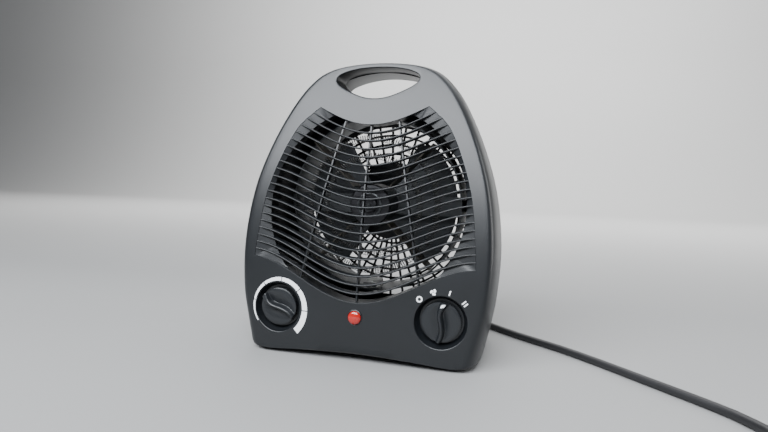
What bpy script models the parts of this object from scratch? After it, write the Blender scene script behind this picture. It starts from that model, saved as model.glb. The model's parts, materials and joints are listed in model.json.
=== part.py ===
"""Upright domestic fan heater, modelled as an assembly of separate parts.

Units are metres. +Z is up, the grille faces -Y, and the origin is on the floor under the middle
of the body. Every sub-part is one named object with its own material.
"""

import math

import bpy
from mathutils import Matrix, Vector
from mathutils.geometry import interpolate_bezier

# ---------------------------------------------------------------- driving dimensions
GAP = 0.0003  # between pieces that touch
WALL = 0.0024  # shell wall thickness
SPLIT_Y = 0.0140  # plane where the two shells meet

FRONT_Y = -0.0614  # front face at the floor, on the centre line
FRONT_LEAN = 0.802  # the front face leans back by this times z squared
FRONT_BOW = 0.373  # and bows back by this times x squared
REAR_Y = 0.0635  # rear face at the floor, on the centre line
REAR_LEAN = 0.24
REAR_BOW = 0.35

# Right halves of the three outlines, as (x, z) from bottom centre to top centre.
# Rows of the three lists belong together: the shells are lofted from one to the next.
FACE_HALF = [  # edge of the front face
    (0.000, 0.0092), (0.042, 0.0064), (0.0710, 0.0038), (0.0845, 0.0034), (0.0893, 0.0055),
    (0.0917, 0.0140), (0.0955, 0.0290), (0.1030, 0.0530), (0.1064, 0.0900), (0.1046, 0.1310),
    (0.0976, 0.1650), (0.0823, 0.2050), (0.0622, 0.2380), (0.0395, 0.2552), (0.000, 0.2602),
]
RIM_HALF = [  # widest outline, at the split between the shells
    (0.000, 0.0030), (0.050, 0.0030), (0.0850, 0.0030), (0.0990, 0.0030), (0.1043, 0.0055),
    (0.1065, 0.0140), (0.1098, 0.0290), (0.1134, 0.0530), (0.1154, 0.0920), (0.1121, 0.1300),
    (0.1043, 0.1650), (0.0893, 0.2050), (0.0700, 0.2390), (0.0460, 0.2566), (0.000, 0.2620),
]
BACK_HALF = [  # edge of the rear face
    (0.000, 0.0035), (0.045, 0.0035), (0.0760, 0.0035), (0.0890, 0.0035), (0.0938, 0.0058),
    (0.0955, 0.0140), (0.0985, 0.0290), (0.1018, 0.0530), (0.1040, 0.0910), (0.1020, 0.1300),
    (0.0945, 0.1630), (0.0805, 0.2020), (0.0635, 0.2350), (0.0415, 0.2545), (0.000, 0.2602),
]
STEPS_PER_SPAN = 2  # outline points between two rows of the lists above
FACE_CENTRE = (0.0, 0.130)
FACE_RINGS = (0.35, 0.7, 1.0)
SIDE_STEPS = (0.16, 0.42, 1.0)
FRONT_SIDE = (0.95, 0.02, 1.0, 0.28)  # handles of the side curve: outward, back, outward, back
REAR_SIDE = (0.50, 0.02, 0.90, 0.25)

HOLE_HALF = [  # carrying hole in the front shell, right half from bottom centre to top centre
    (0.000, 0.2274), (0.0125, 0.2292), (0.0255, 0.2345), (0.0342, 0.2395), (0.0388, 0.2445),
    (0.0375, 0.2492), (0.0295, 0.2532), (0.016, 0.2560), (0.000, 0.2568),
]
REAR_HOLE_HALF = [  # the same hole in the rear shell, with wider ends
    (0.000, 0.2274), (0.0150, 0.2292), (0.0300, 0.2330), (0.0400, 0.2375), (0.0452, 0.2422),
    (0.0425, 0.2472), (0.0315, 0.2518), (0.016, 0.2552), (0.000, 0.2564),
]

# Grille: ribs run between the two ends of a row; row 0 is the top edge of the well.
ROWS = 22
ROW_TOP_Z = 0.2029  # centre of the top edge
ROW_PITCH = 0.007257
WAVE_WIDTH = 0.102  # half a wave length
WAVE_MIN, WAVE_MORE, WAVE_MIN_ROW = 0.0267, 0.0068, 9.0
TIP_LINE = [  # row ends (x, z), top to bottom
    (0.0498, 0.2194), (0.0675, 0.2031), (0.0783, 0.1829), (0.0881, 0.1562), (0.0938, 0.1295),
    (0.0969, 0.1019), (0.0983, 0.0838),
]
RIB_THICKNESS = 0.0017
RIB_DEPTH = 0.0080
RIB_SET_BACK = 0.0004
RAMP_R, RAMP_DEPTH = 0.0880, 0.0040  # each row slopes down to this circle round the fan axis
FUNNEL_END = (-0.0540, 0.2050)  # y of the funnel wall's rear edge at z = 0, and how it leans back with z
STRUT_TOP, STRUT_LEAN = (0.0250, 0.2050), 0.185  # side struts: x at the top, and widening per metre
STRUT_SECTION = ((-0.0007, 0.0), (0.0007, 0.0), (0.0007, 0.0050), (-0.0007, 0.0050))

# Controls
DIAL_X, DIAL_Z = 0.0723, 0.0402
DIAL_R, DIAL_FLOOR_R, DIAL_FLOOR_Y = 0.0210, 0.0185, -0.0502
KNOB_R, KNOB_BACK_Y, KNOB_RIM_Y, KNOB_FACE_Y = 0.0163, -0.0526, -0.0556, -0.0564
HUB_R, SHAFT_R = 0.0056, 0.0030
GRIP_Y, GRIP_SWAY = -0.0604, 0.0023  # crest of the S-shaped ridge, and how far it sways aside
THERMOSTAT_POINTER_DEG, MODE_POINTER_DEG = 145.0, 80.0
CONTROL_Y = -0.0465  # front of the two control bodies
CONTROL_SCREW_X = 0.0110
LENS_Z, LENS_R = 0.0382, 0.0057

# Fan and element, on one axis along Y
AXIS_Z = 0.1320
DUCT_R, DUCT_T, DUCT_Y = 0.0790, 0.0016, (-0.0085, 0.0340)
MOTOR_R, MOTOR_Y, MOTOR_SCREW_X = 0.0190, (-0.0250, 0.0060), 0.0130
FAN_Y, BLADE_R = 0.0230, 0.0730
COIL_RADII, COIL_R, COIL_Y = (0.0440, 0.0600), 0.0032, -0.0170
MICA_Y = (-0.0225, -0.0020)
INTAKE_Z, INTAKE_R = 0.1215, 0.0885
INTAKE_RINGS, INTAKE_SPOKES, INTAKE_BAR = 4, 16, 0.0030
PLATE_R, PLATE_Z = 0.0400, 0.1330  # closed middle of the intake

# Fastening
CASE_SCREWS = [(0.0510, 0.2320), (0.0520, 0.0210), (0.0980, 0.0620)]  # each on both sides
SCREW_HEAD_Y = 0.0260  # where a case screw's head seats in its bore
DUCT_SCREW_X = 0.0955
POST_R = 0.0042
FOOT_R, FOOT_H = 0.0065, 0.0027
FOOT_X, FOOT_Y = 0.0800, (-0.0380, 0.0420)

# Mains cord
CORD_R = 0.0034
GLAND_X, GLAND_Z, GLAND_END_Y = 0.0350, 0.0210, 0.0880
CORD_ROUTE = [  # from the gland, down to the floor, round and away to the front right
    (0.0350, 0.0885, 0.0210), (0.0356, 0.1020, 0.0190), (0.0420, 0.1170, 0.0130),
    (0.0560, 0.1245, 0.0070), (0.0740, 0.1180, 0.0042), (0.0900, 0.1035, 0.0036),
    (0.1055, 0.0865, 0.0036), (0.1360, 0.0575, 0.0036), (0.1710, 0.0300, 0.0036),
    (0.2020, 0.0005, 0.0036), (0.2300, -0.0290, 0.0036), (0.2560, -0.0560, 0.0036),
    (0.2770, -0.0800, 0.0036), (0.2880, -0.1010, 0.0040),
]
COIL_CENTRE, SPARE_COIL_R, SPARE_COIL_Z = (0.3350, -0.1350), (0.0304, 0.0446), (0.0012, 0.0148)
COIL_MEETS_DEG = 157.3  # where the cord runs onto the coil
TIE_DEG, TIE_WIDTH, TIE_T = 270.0, 0.0120, 0.0008
PLUG_DEG, PLUG_TURN_DEG, PLUG_Z = 32.6, -32.6, 0.0083  # where the plug leaves the coil, and its slant
PLUG_SECTIONS = [  # along the plug: distance, half width, half height
    (0.000, 0.0039, 0.0039), (0.018, 0.0046, 0.0046), (0.023, 0.0085, 0.0064), (0.030, 0.0150, 0.0076),
    (0.040, 0.0178, 0.0080), (0.057, 0.0182, 0.0080), (0.059, 0.0174, 0.0072),
]
PIN_R, PIN_PITCH, PIN_LENGTH, PIN_SOCKET = 0.0024, 0.0190, 0.0190, 0.0070


# ---------------------------------------------------------------- shape helpers
def front_y(x, z):
    return FRONT_Y + FRONT_LEAN * z * z + FRONT_BOW * x * x


def rear_y(x, z):
    return REAR_Y - REAR_LEAN * z * z - REAR_BOW * x * x


def catmull(points, steps):
    """Smooth curve through the points, with that many steps between two of them."""
    result = []
    for i in range(len(points) - 1):
        p0 = Vector(points[max(i - 1, 0)])
        p1, p2 = Vector(points[i]), Vector(points[i + 1])
        p3 = Vector(points[min(i + 2, len(points) - 1)])
        handle_1, handle_2 = p1 + (p2 - p0) / 6, p2 - (p3 - p1) / 6
        result += interpolate_bezier(p1, handle_1, handle_2, p2, steps + 1)[:-1]
    return result + [Vector(points[-1])]


def closed_outline(half, steps=STEPS_PER_SPAN):
    """Both halves of a symmetric outline as (x, z), anticlockwise from bottom centre."""
    mirrored_before = [(-half[1][0], half[1][1])] + list(half) + [(-half[-2][0], half[-2][1])]
    right = catmull(mirrored_before, steps)[steps:-steps]
    left = [Vector((-p.x, p.y)) for p in reversed(right[1:-1])]
    return [Vector((p.x, p.y)) for p in right] + left


def inset(points, distance):
    """The closed outline moved inwards by a distance (outwards if it is negative)."""
    result = []
    for i, point in enumerate(points):
        along = points[(i + 1) % len(points)] - points[i - 1]
        inwards = Vector((-along.y, along.x)).normalized()
        result.append(point + inwards * distance)
    return result


def make_material(name, colour, roughness, metallic=0.0):
    material = bpy.data.materials.new(name)
    material.use_nodes = True
    shader = material.node_tree.nodes["Principled BSDF"]
    shader.inputs["Base Color"].default_value = (*colour, 1.0)
    shader.inputs["Roughness"].default_value = roughness
    shader.inputs["Metallic"].default_value = metallic
    return material


def make_object(name, vertices, faces, material=None, smooth_deg=35.0):
    mesh = bpy.data.meshes.new(name)
    mesh.from_pydata([tuple(v) for v in vertices], [], faces)
    mesh.validate()
    thing = bpy.data.objects.new(name, mesh)
    bpy.context.scene.collection.objects.link(thing)
    return finish_object(thing, material, smooth_deg)


def finish_object(thing, material, smooth_deg=35.0):
    if material is not None:
        thing.data.materials.clear()
        thing.data.materials.append(material)
    thing.data.shade_smooth()
    thing.data.set_sharp_from_angle(angle=math.radians(smooth_deg))
    return thing


def lofted(rings, first_centre=None, last_centre=None):
    """Closed loft through rings of equal length; ends are fans if a centre is given, or flat caps."""
    count = len(rings[0])
    vertices = [v for ring in rings for v in ring]
    faces = []
    for r in range(len(rings) - 1):
        for i in range(count):
            j = (i + 1) % count
            a, b = r * count, (r + 1) * count
            faces.append((a + i, a + j, b + j, b + i))
    last = (len(rings) - 1) * count
    for centre, start, forward in ((first_centre, 0, False), (last_centre, last, True)):
        ring = [start + i for i in range(count)]
        if centre is None:
            faces.append(tuple(ring if forward else reversed(ring)))
            continue
        vertices.append(centre)
        tip = len(vertices) - 1
        for i in range(count):
            a, b = ring[i], ring[(i + 1) % count]
            faces.append((tip, a, b) if forward else (tip, b, a))
    return vertices, faces


def merged(solids):
    """Several separate solids, each (vertices, faces), as one."""
    vertices, faces = [], []
    for more_vertices, more_faces in solids:
        start = len(vertices)
        vertices += more_vertices
        faces += [tuple(start + i for i in face) for face in more_faces]
    return vertices, faces


def outward(solid):
    """The solid with its faces turned out, judged by its signed volume."""
    vertices, faces = solid
    volume = 0.0
    for face in faces:
        a = Vector(vertices[face[0]])
        for i in range(1, len(face) - 1):
            volume += a.dot(Vector(vertices[face[i]]).cross(Vector(vertices[face[i + 1]])))
    return solid if volume > 0 else (vertices, [tuple(reversed(face)) for face in faces])


def circle(radius, sides, turn_deg=0.0):
    """Points (a, b) round a circle."""
    angles = [math.radians(turn_deg) + math.tau * i / sides for i in range(sides)]
    return [(radius * math.cos(t), radius * math.sin(t)) for t in angles]


def turned_y(centre, profile, sides):
    """Solid turned about an axis along Y through centre (x, z), from (radius, y) pairs."""
    rings = [[Vector((centre[0] + a, y, centre[1] + b)) for a, b in circle(r, sides)] for r, y in profile]
    return outward(lofted(rings))


def turned_z(centre, profile, sides):
    """Solid turned about an axis along Z through centre (x, y), from (radius, z) pairs."""
    rings = [[Vector((centre[0] + a, centre[1] + b, z)) for a, b in circle(r, sides)] for r, z in profile]
    return outward(lofted(rings))


def ring_y(centre, inner, outer, y_range, sides):
    """Tube with square ends about an axis along Y."""
    profile = [(inner, y_range[0]), (outer, y_range[0]), (outer, y_range[1]), (inner, y_range[1])]
    return revolved([(r, y) for r, y in profile], centre, sides)


def revolved(profile, centre, sides):
    """Closed (radius, y) profile turned about an axis along Y into a ring."""
    vertices, faces = [], []
    count = len(profile)
    for a, b in circle(1.0, sides):
        vertices += [Vector((centre[0] + a * r, y, centre[1] + b * r)) for r, y in profile]
    for s in range(sides):
        a, b = s * count, ((s + 1) % sides) * count
        for i in range(count):
            j = (i + 1) % count
            faces.append((a + i, a + j, b + j, b + i))
    return outward((vertices, faces))


def block(low, high):
    """Box between two corners."""
    x, y, z = zip(low, high)
    lower = [Vector((x[a], y[b], z[0])) for a, b in ((0, 0), (1, 0), (1, 1), (0, 1))]
    upper = [Vector((v.x, v.y, z[1])) for v in lower]
    return outward(lofted([lower, upper]))


def placed(solid, matrix):
    return [matrix @ Vector(v) for v in solid[0]], solid[1]


def prism_y(outline, y_low, y_high):
    """Outline of (x, z) points extruded along Y."""
    rings = [[Vector((p[0], y, p[1])) for p in outline] for y in (y_low, y_high)]
    return outward(lofted(rings))


def combine(thing, solid, operation, solver="EXACT"):
    """Cuts the solid from the object, or joins it, with a Boolean that is applied at once."""
    tool = make_object("tool", *outward(solid))
    modifier = thing.modifiers.new("cut", "BOOLEAN")
    modifier.operation = operation
    modifier.solver = solver
    modifier.object = tool
    bpy.context.view_layer.update()
    evaluated = thing.evaluated_get(bpy.context.evaluated_depsgraph_get())
    result = bpy.data.meshes.new_from_object(evaluated)
    thing.modifiers.clear()
    thing.data = result
    bpy.data.objects.remove(tool)
    return thing


def solid_of(thing):
    """An object's mesh as (vertices, faces); the object is removed."""
    solid = [v.co.copy() for v in thing.data.vertices], [tuple(p.vertices) for p in thing.data.polygons]
    bpy.data.objects.remove(thing)
    return solid


def part(name, solid, material):
    return make_object(name, *outward(solid), material)


# ---------------------------------------------------------------- materials
BLACK = make_material("body_black", (0.022, 0.024, 0.027), 0.45)
KNOB = make_material("knob_black", (0.016, 0.017, 0.019), 0.38)
RED = make_material("lens_red", (0.55, 0.02, 0.01), 0.15)
STEEL = make_material("zinc_steel", (0.62, 0.63, 0.65), 0.35, 1.0)
DARK_STEEL = make_material("motor_steel", (0.16, 0.16, 0.17), 0.45, 1.0)
FAN = make_material("fan_grey", (0.10, 0.105, 0.11), 0.45)
MICA = make_material("mica", (0.46, 0.40, 0.30), 0.60)
WIRE = make_material("heating_wire", (0.42, 0.40, 0.38), 0.40, 1.0)
WHITE = make_material("white_plastic", (0.80, 0.79, 0.75), 0.45)
RUBBER = make_material("black_rubber", (0.015, 0.015, 0.016), 0.75)
CORD = make_material("cord_black", (0.014, 0.014, 0.015), 0.50)
BRASS = make_material("plug_nickel", (0.70, 0.67, 0.60), 0.25, 1.0)
LEAD = make_material("lead_brown", (0.16, 0.07, 0.03), 0.50)


# ---------------------------------------------------------------- shells
def shell_solid(face_half, rim_half, handles, surface, start_y, offset=0.0, past=0.0):
    """Solid half of the body: a bowed face, then sides that curve out to the rim at start_y.

    offset shrinks it by a wall thickness, and past runs it beyond the rim plane.
    """
    face = inset(closed_outline(face_half), offset)
    rim = inset(closed_outline(rim_half), offset)
    side = 1.0 if surface(0, 0) > start_y else -1.0
    centre = Vector(FACE_CENTRE)

    def on_face(p):
        return Vector((p.x, surface(p.x, p.y) - side * offset, p.y))

    rings = []
    for share in FACE_RINGS:
        rings.append([on_face(centre + (p - centre) * share) for p in face])
    for step in SIDE_STEPS:
        ring = []
        for f, r in zip(face, rim):
            begin, end = on_face(f), Vector((r.x, start_y, r.y))
            out = end - begin
            first = begin + Vector((out.x * handles[0], out.y * handles[1], out.z * handles[0]))
            second = begin + Vector((out.x * handles[2], out.y * handles[3], out.z * handles[2]))
            t, u = step, 1 - step
            ring.append(begin * u**3 + first * 3 * u * u * t + second * 3 * u * t * t + end * t**3)
        rings.append(ring)
    if past:
        rings.append([Vector((p.x, start_y - side * past, p.z)) for p in rings[-1]])
    return outward(lofted(rings, first_centre=on_face(centre)))


def wave_z(row, x):
    """Height of a rib's centre line at x."""
    rows_away = (row - WAVE_MIN_ROW) / (WAVE_MIN_ROW if row < WAVE_MIN_ROW else ROWS - 1 - WAVE_MIN_ROW)
    height = WAVE_MIN + WAVE_MORE * rows_away**2
    return ROW_TOP_Z - ROW_PITCH * row + height * (1 - math.cos(math.pi * x / WAVE_WIDTH)) / 2


def tip_x(row):
    """Half length of a row, from the tip line's height nearest the wave's end."""
    line = catmull(TIP_LINE, 6)
    return min(line, key=lambda p: abs(p.y - wave_z(row, p.x))).x


def rib(row):
    """One blade of the grille, following the wave and the bowed front."""
    end = tip_x(row) + 0.0008
    stations = 8
    rings = []
    for i in range(stations + 1):
        x = -end + 2 * end * i / stations
        z = wave_z(row, x)
        slope = (wave_z(row, x + 0.0005) - wave_z(row, x - 0.0005)) / 0.001
        half = RIB_THICKNESS / 2 * math.sqrt(1 + slope * slope)
        y = front_y(x, z) + RIB_SET_BACK
        corners = ((y, -half), (y + RIB_DEPTH, -half), (y + RIB_DEPTH, half), (y, half))
        rings.append([Vector((x, a, z + b)) for a, b in corners])
    return outward(lofted(rings))


def strut(side):
    """Upright bar behind the rib fronts: side is -1, 0 or 1."""
    rings = []
    for i in range(7):
        z = ROW_TOP_Z + 0.004 - (ROW_TOP_Z - 0.047) * i / 6
        x = side * (STRUT_TOP[0] + STRUT_LEAN * (STRUT_TOP[1] - z))
        if side:
            z += 0.0125 * i / 6
        y = front_y(x, z) + 0.0022
        rings.append([Vector((x + a, y + b, z)) for a, b in STRUT_SECTION])
    return outward(lofted(rings))


def well_outline():
    """Edge of the grille opening as (x, z)."""
    bottom, per_row = ROWS - 1, 12
    points = []
    for row, direction in ((bottom, 1), (0, -1)):
        shares = [direction * (2 * i / per_row - 1) for i in range(per_row + 1)]
        points += [Vector((tip_x(row) * s, wave_z(row, tip_x(row) * s))) for s in shares]
        if row == bottom:
            side = [Vector((tip_x(r), wave_z(r, tip_x(r)))) for r in range(bottom - 2, 1, -2)]
            points += side
    return points + [Vector((-p.x, p.y)) for p in reversed(side)]


def well(grow, last_ring, wall=0.0):
    """Grille opening: its rows slope down to a circle, and from there it runs straight back.

    grow above 1 and a wall give the shape round it. last_ring is the y of its end at z = 0, and its lean.
    """
    centre = Vector((0.0, AXIS_Z))
    spread = [(p - centre) * grow for p in well_outline()]
    outer = [centre + v for v in spread]
    inner = [centre + v * min(1.0, RAMP_R * grow / v.length) for v in spread]
    rings = [[Vector((p.x, -0.09, p.y)) for p in outer]]
    rings.append([Vector((p.x, front_y(p.x, p.y) + 1.25 * wall, p.y)) for p in outer])
    rings.append([Vector((p.x, front_y(p.x, p.y) + RAMP_DEPTH + wall, p.y)) for p in inner])
    rings.append([Vector((p.x, last_ring[0] + last_ring[1] * p.y, p.y)) for p in inner])
    return outward(lofted(rings))


def posts(y_low, y_high, radius):
    """Solid posts at the six case screws."""
    return merged([turned_y((s * x, z), [(radius, y_low), (radius, y_high)], 12)
                   for x, z in CASE_SCREWS for s in (-1, 1)])


def screw_tip_y(x, z):
    """How far forward a case screw reaches in its post."""
    return max(-0.0190, front_y(x, z) + 0.0065)


def dial_cutter(side):
    profile = [(DIAL_R + 0.0006, -0.075), (DIAL_R + 0.0006, -0.0575), (DIAL_FLOOR_R, DIAL_FLOOR_Y)]
    return turned_y((side * DIAL_X, DIAL_Z), profile, 32)


def build_front_shell():
    outer = shell_solid(FACE_HALF, RIM_HALF, FRONT_SIDE, front_y, SPLIT_Y)
    inner = shell_solid(FACE_HALF, RIM_HALF, FRONT_SIDE, front_y, SPLIT_Y, WALL, 0.004)
    cavity = make_object("cavity", *inner)
    hole = closed_outline(HOLE_HALF, 2)
    combine(cavity, prism_y(inset(hole, -WALL), -0.08, SPLIT_Y + 0.01), "DIFFERENCE")
    combine(cavity, posts(-0.08, SPLIT_Y - 0.0005, POST_R), "DIFFERENCE")
    cups = merged([turned_y((s * DIAL_X, DIAL_Z), [(DIAL_R + WALL, -0.08), (DIAL_R + WALL, -0.048)], 32)
                   for s in (-1, 1)])
    combine(cavity, cups, "DIFFERENCE")
    combine(cavity, well(1.028, FUNNEL_END, WALL), "DIFFERENCE")
    shell = make_object("front_shell", *outer)
    combine(shell, solid_of(cavity), "DIFFERENCE")
    combine(shell, prism_y(hole, -0.09, SPLIT_Y + 0.02), "DIFFERENCE")
    combine(shell, merged([dial_cutter(-1), dial_cutter(1)]), "DIFFERENCE")
    hub_bore = [(HUB_R + 0.0006, -0.06), (HUB_R + 0.0006, -0.04)]
    bores = [turned_y((s * DIAL_X, DIAL_Z), hub_bore, 20) for s in (-1, 1)]
    bores += [turned_y((s * DIAL_X + t * CONTROL_SCREW_X, DIAL_Z), [(0.0016, -0.06), (0.0016, -0.04)], 10)
              for s in (-1, 1) for t in (-1, 1)]
    bores += [turned_y((0, LENS_Z), [(0.0049, -0.08), (0.0049, -0.05)], 16)]
    bores += [turned_y((s * x, z), [(0.0018, screw_tip_y(x, z) - 0.001), (0.0018, SPLIT_Y + 0.005)], 10)
              for x, z in CASE_SCREWS for s in (-1, 1)]
    combine(shell, merged(bores), "DIFFERENCE")
    combine(shell, well(1.0, (0.0, 0.0)), "DIFFERENCE")
    combine(shell, merged([rib(row) for row in range(1, ROWS - 1)]), "UNION", "MANIFOLD")
    combine(shell, merged([strut(side) for side in (-1, 0, 1)]), "UNION", "MANIFOLD")
    return finish_object(shell, BLACK)


def intake_cutters():
    """Openings of the rear intake: sectors between rings and spokes."""
    solids = []
    pitch = INTAKE_R / INTAKE_RINGS
    for ring in range(1, INTAKE_RINGS):
        inner, outer = ring * pitch + INTAKE_BAR / 2, (ring + 1) * pitch - INTAKE_BAR / 2
        for spoke in range(INTAKE_SPOKES):
            middle = math.tau * (spoke + 0.5) / INTAKE_SPOKES
            corners = []
            for radius, signs in ((inner, (-1, 1)), (outer, (1, -1))):
                half = math.pi / INTAKE_SPOKES - INTAKE_BAR / 2 / radius
                for turn in (middle + s * half for s in signs):
                    corners.append((radius * math.sin(turn), INTAKE_Z + radius * math.cos(turn)))
            solids.append(prism_y(corners, 0.046, 0.075))
    return merged(solids)


def intake_plate():
    """Closed round plate in the middle of the intake, behind the fan, that follows the bowed back."""
    rings = []
    for depth in (0.0030, 0.0004):
        rings.append([Vector((x, rear_y(x, PLATE_Z + z) - depth, PLATE_Z + z)) for x, z in circle(PLATE_R, 72)])
    ends = [Vector((0, rear_y(0, PLATE_Z) - depth, PLATE_Z)) for depth in (0.0030, 0.0004)]
    return outward(lofted(rings, first_centre=ends[0], last_centre=ends[1]))


def build_rear_shell():
    start = SPLIT_Y + GAP
    outer = shell_solid(BACK_HALF, RIM_HALF, REAR_SIDE, rear_y, start)
    cavity = make_object("cavity", *shell_solid(BACK_HALF, RIM_HALF, REAR_SIDE, rear_y, start, WALL, 0.004))
    hole = closed_outline(REAR_HOLE_HALF, 2)
    combine(cavity, prism_y(inset(hole, -WALL), 0.0, 0.09), "DIFFERENCE")
    combine(cavity, posts(start + 0.0005, 0.09, 0.0052), "DIFFERENCE")
    post = [(0.0036, DUCT_Y[1] - 0.0017), (0.0036, 0.09)]
    duct_posts = [turned_y((s * DUCT_SCREW_X, AXIS_Z), post, 12) for s in (-1, 1)]
    combine(cavity, merged(duct_posts), "DIFFERENCE")
    shell = make_object("rear_shell", *outer)
    combine(shell, solid_of(cavity), "DIFFERENCE")
    combine(shell, prism_y(hole, 0.0, 0.09), "DIFFERENCE")
    stepped = [(0.0018, 0.0), (0.0018, SCREW_HEAD_Y), (0.0034, SCREW_HEAD_Y), (0.0034, 0.09)]
    bores = [turned_y((s * x, z), stepped, 12) for x, z in CASE_SCREWS for s in (-1, 1)]
    bores += [turned_y((s * DUCT_SCREW_X, AXIS_Z), [(0.0014, 0.02), (0.0014, 0.045)], 10) for s in (-1, 1)]
    bores.append(turned_y((GLAND_X, GLAND_Z), [(0.0050, 0.045), (0.0050, 0.09)], 16))
    combine(shell, merged(bores), "DIFFERENCE")
    combine(shell, intake_cutters(), "DIFFERENCE", "MANIFOLD")
    combine(shell, intake_plate(), "UNION", "MANIFOLD")
    return finish_object(shell, BLACK)


# ---------------------------------------------------------------- controls
def grip_solid(centre, pointer_deg):
    """S-shaped finger ridge across a knob, pointing along pointer_deg (anticlockwise from +X)."""
    turn = math.radians(pointer_deg)
    forward = Vector((math.cos(turn), 0, math.sin(turn)))
    left = Vector((-math.sin(turn), 0, math.cos(turn)))
    rings = []
    for i in range(13):
        t = -1 + 2 * i / 12
        sway = GRIP_SWAY * math.sin(math.pi * t * (1.0 if t > 0 else 0.8))
        middle = Vector((centre[0], 0, centre[1])) + forward * (t * KNOB_R * 0.93) + left * sway
        top, foot = GRIP_Y + 0.0022 * t * t, KNOB_BACK_Y - 0.0006
        section = ((-0.0024, foot), (-0.0011, top), (0.0011, top), (0.0024, foot))
        rings.append([middle + left * a + Vector((0, y, 0)) for a, y in section])
    return outward(lofted(rings))


def build_dial(side, knob_name, shaft_name, body_name, pointer_deg):
    """Knob, shaft and control body of one dial, with its two fixing screws."""
    centre = (side * DIAL_X, DIAL_Z)
    rim = [(HUB_R, -0.0476), (HUB_R, KNOB_BACK_Y), (KNOB_R, KNOB_BACK_Y), (KNOB_R, KNOB_RIM_Y),
           (KNOB_R - 0.0012, KNOB_FACE_Y), (0.006, KNOB_FACE_Y + 0.0006)]
    knob = make_object(knob_name, *turned_y(centre, rim, 32))
    combine(knob, grip_solid(centre, pointer_deg), "UNION")
    bore = turned_y(centre, [(SHAFT_R + GAP, -0.0541), (SHAFT_R + GAP, -0.04)], 16)
    set_origin(finish_object(combine(knob, bore, "DIFFERENCE"), KNOB), (centre[0], KNOB_BACK_Y, centre[1]))
    shaft = part(shaft_name, turned_y(centre, [(SHAFT_R, -0.0538), (SHAFT_R, -0.0400)], 16), STEEL)
    set_origin(shaft, (centre[0], KNOB_BACK_Y, centre[1]))
    half_x, half_z, depth = (0.0145, 0.0145, 0.0170) if side < 0 else (0.0140, 0.0125, 0.0210)
    low = (centre[0] - half_x, CONTROL_Y, centre[1] - half_z)
    body = make_object(body_name, *block(low, (centre[0] + half_x, CONTROL_Y + depth, centre[1] + half_z)))
    holes = [turned_y(centre, [(SHAFT_R + GAP, -0.05), (SHAFT_R + GAP, -0.0396)], 16)]
    for t in (-1, 1):
        place = (centre[0] + t * CONTROL_SCREW_X, centre[1])
        holes.append(turned_y(place, [(0.0014, -0.05), (0.0014, -0.0414)], 10))
        screw = [(0.0024, -0.0517), (0.0024, -0.0505), (0.0011, -0.0505), (0.0011, -0.0417)]
        part(f"{body_name}_screw_{'left' if t < 0 else 'right'}", turned_y(place, screw, 10), STEEL)
    finish_object(combine(body, merged(holes), "DIFFERENCE"), WHITE)


def set_origin(thing, place):
    """Moves the object's origin onto its joint's axis and leaves the shape where it is."""
    offset = Vector(place)
    thing.data.transform(Matrix.Translation(-offset))
    thing.location = offset


def build_indicator():
    surface = front_y(0, LENS_Z)
    dome = [(LENS_R * math.cos(t), surface - 0.0006 - 0.0026 * math.sin(t)) for t in
            [math.radians(a) for a in (78, 52, 26, 0)]]
    part("indicator_lens", turned_y((0, LENS_Z), dome + [
        (LENS_R, surface - 0.0004), (0.0045, surface - 0.0004), (0.0045, -0.0545)], 24), RED)
    lamp = [(0.0036, -0.0542), (0.0036, -0.0400), (0.0024, -0.0370)]
    part("indicator_lamp", turned_y((0, LENS_Z), lamp, 16), WHITE)


# ---------------------------------------------------------------- fan and element
def build_duct():
    duct = make_object("fan_duct", *ring_y((0, AXIS_Z), DUCT_R, DUCT_R + DUCT_T, DUCT_Y, 40))
    for s in (-1, 1):
        low, high = sorted((s * (DUCT_R + 0.0006), s * (DUCT_SCREW_X + 0.0045)))
        ear = block((low, DUCT_Y[1] - 0.0040, AXIS_Z - 0.006), (high, DUCT_Y[1] - 0.0020, AXIS_Z + 0.006))
        combine(duct, ear, "UNION")
        ear_hole = turned_y((s * DUCT_SCREW_X, AXIS_Z), [(0.0018, 0.02), (0.0018, 0.04)], 10)
        combine(duct, ear_hole, "DIFFERENCE")
        name = f"duct_screw_{'left' if s < 0 else 'right'}"
        head = DUCT_Y[1] - 0.0040 - GAP
        part(name, turned_y((s * DUCT_SCREW_X, AXIS_Z), [
            (0.0028, head - 0.0014), (0.0028, head), (0.0011, head), (0.0011, 0.0440)], 10), STEEL)
    finish_object(duct, STEEL)


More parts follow.
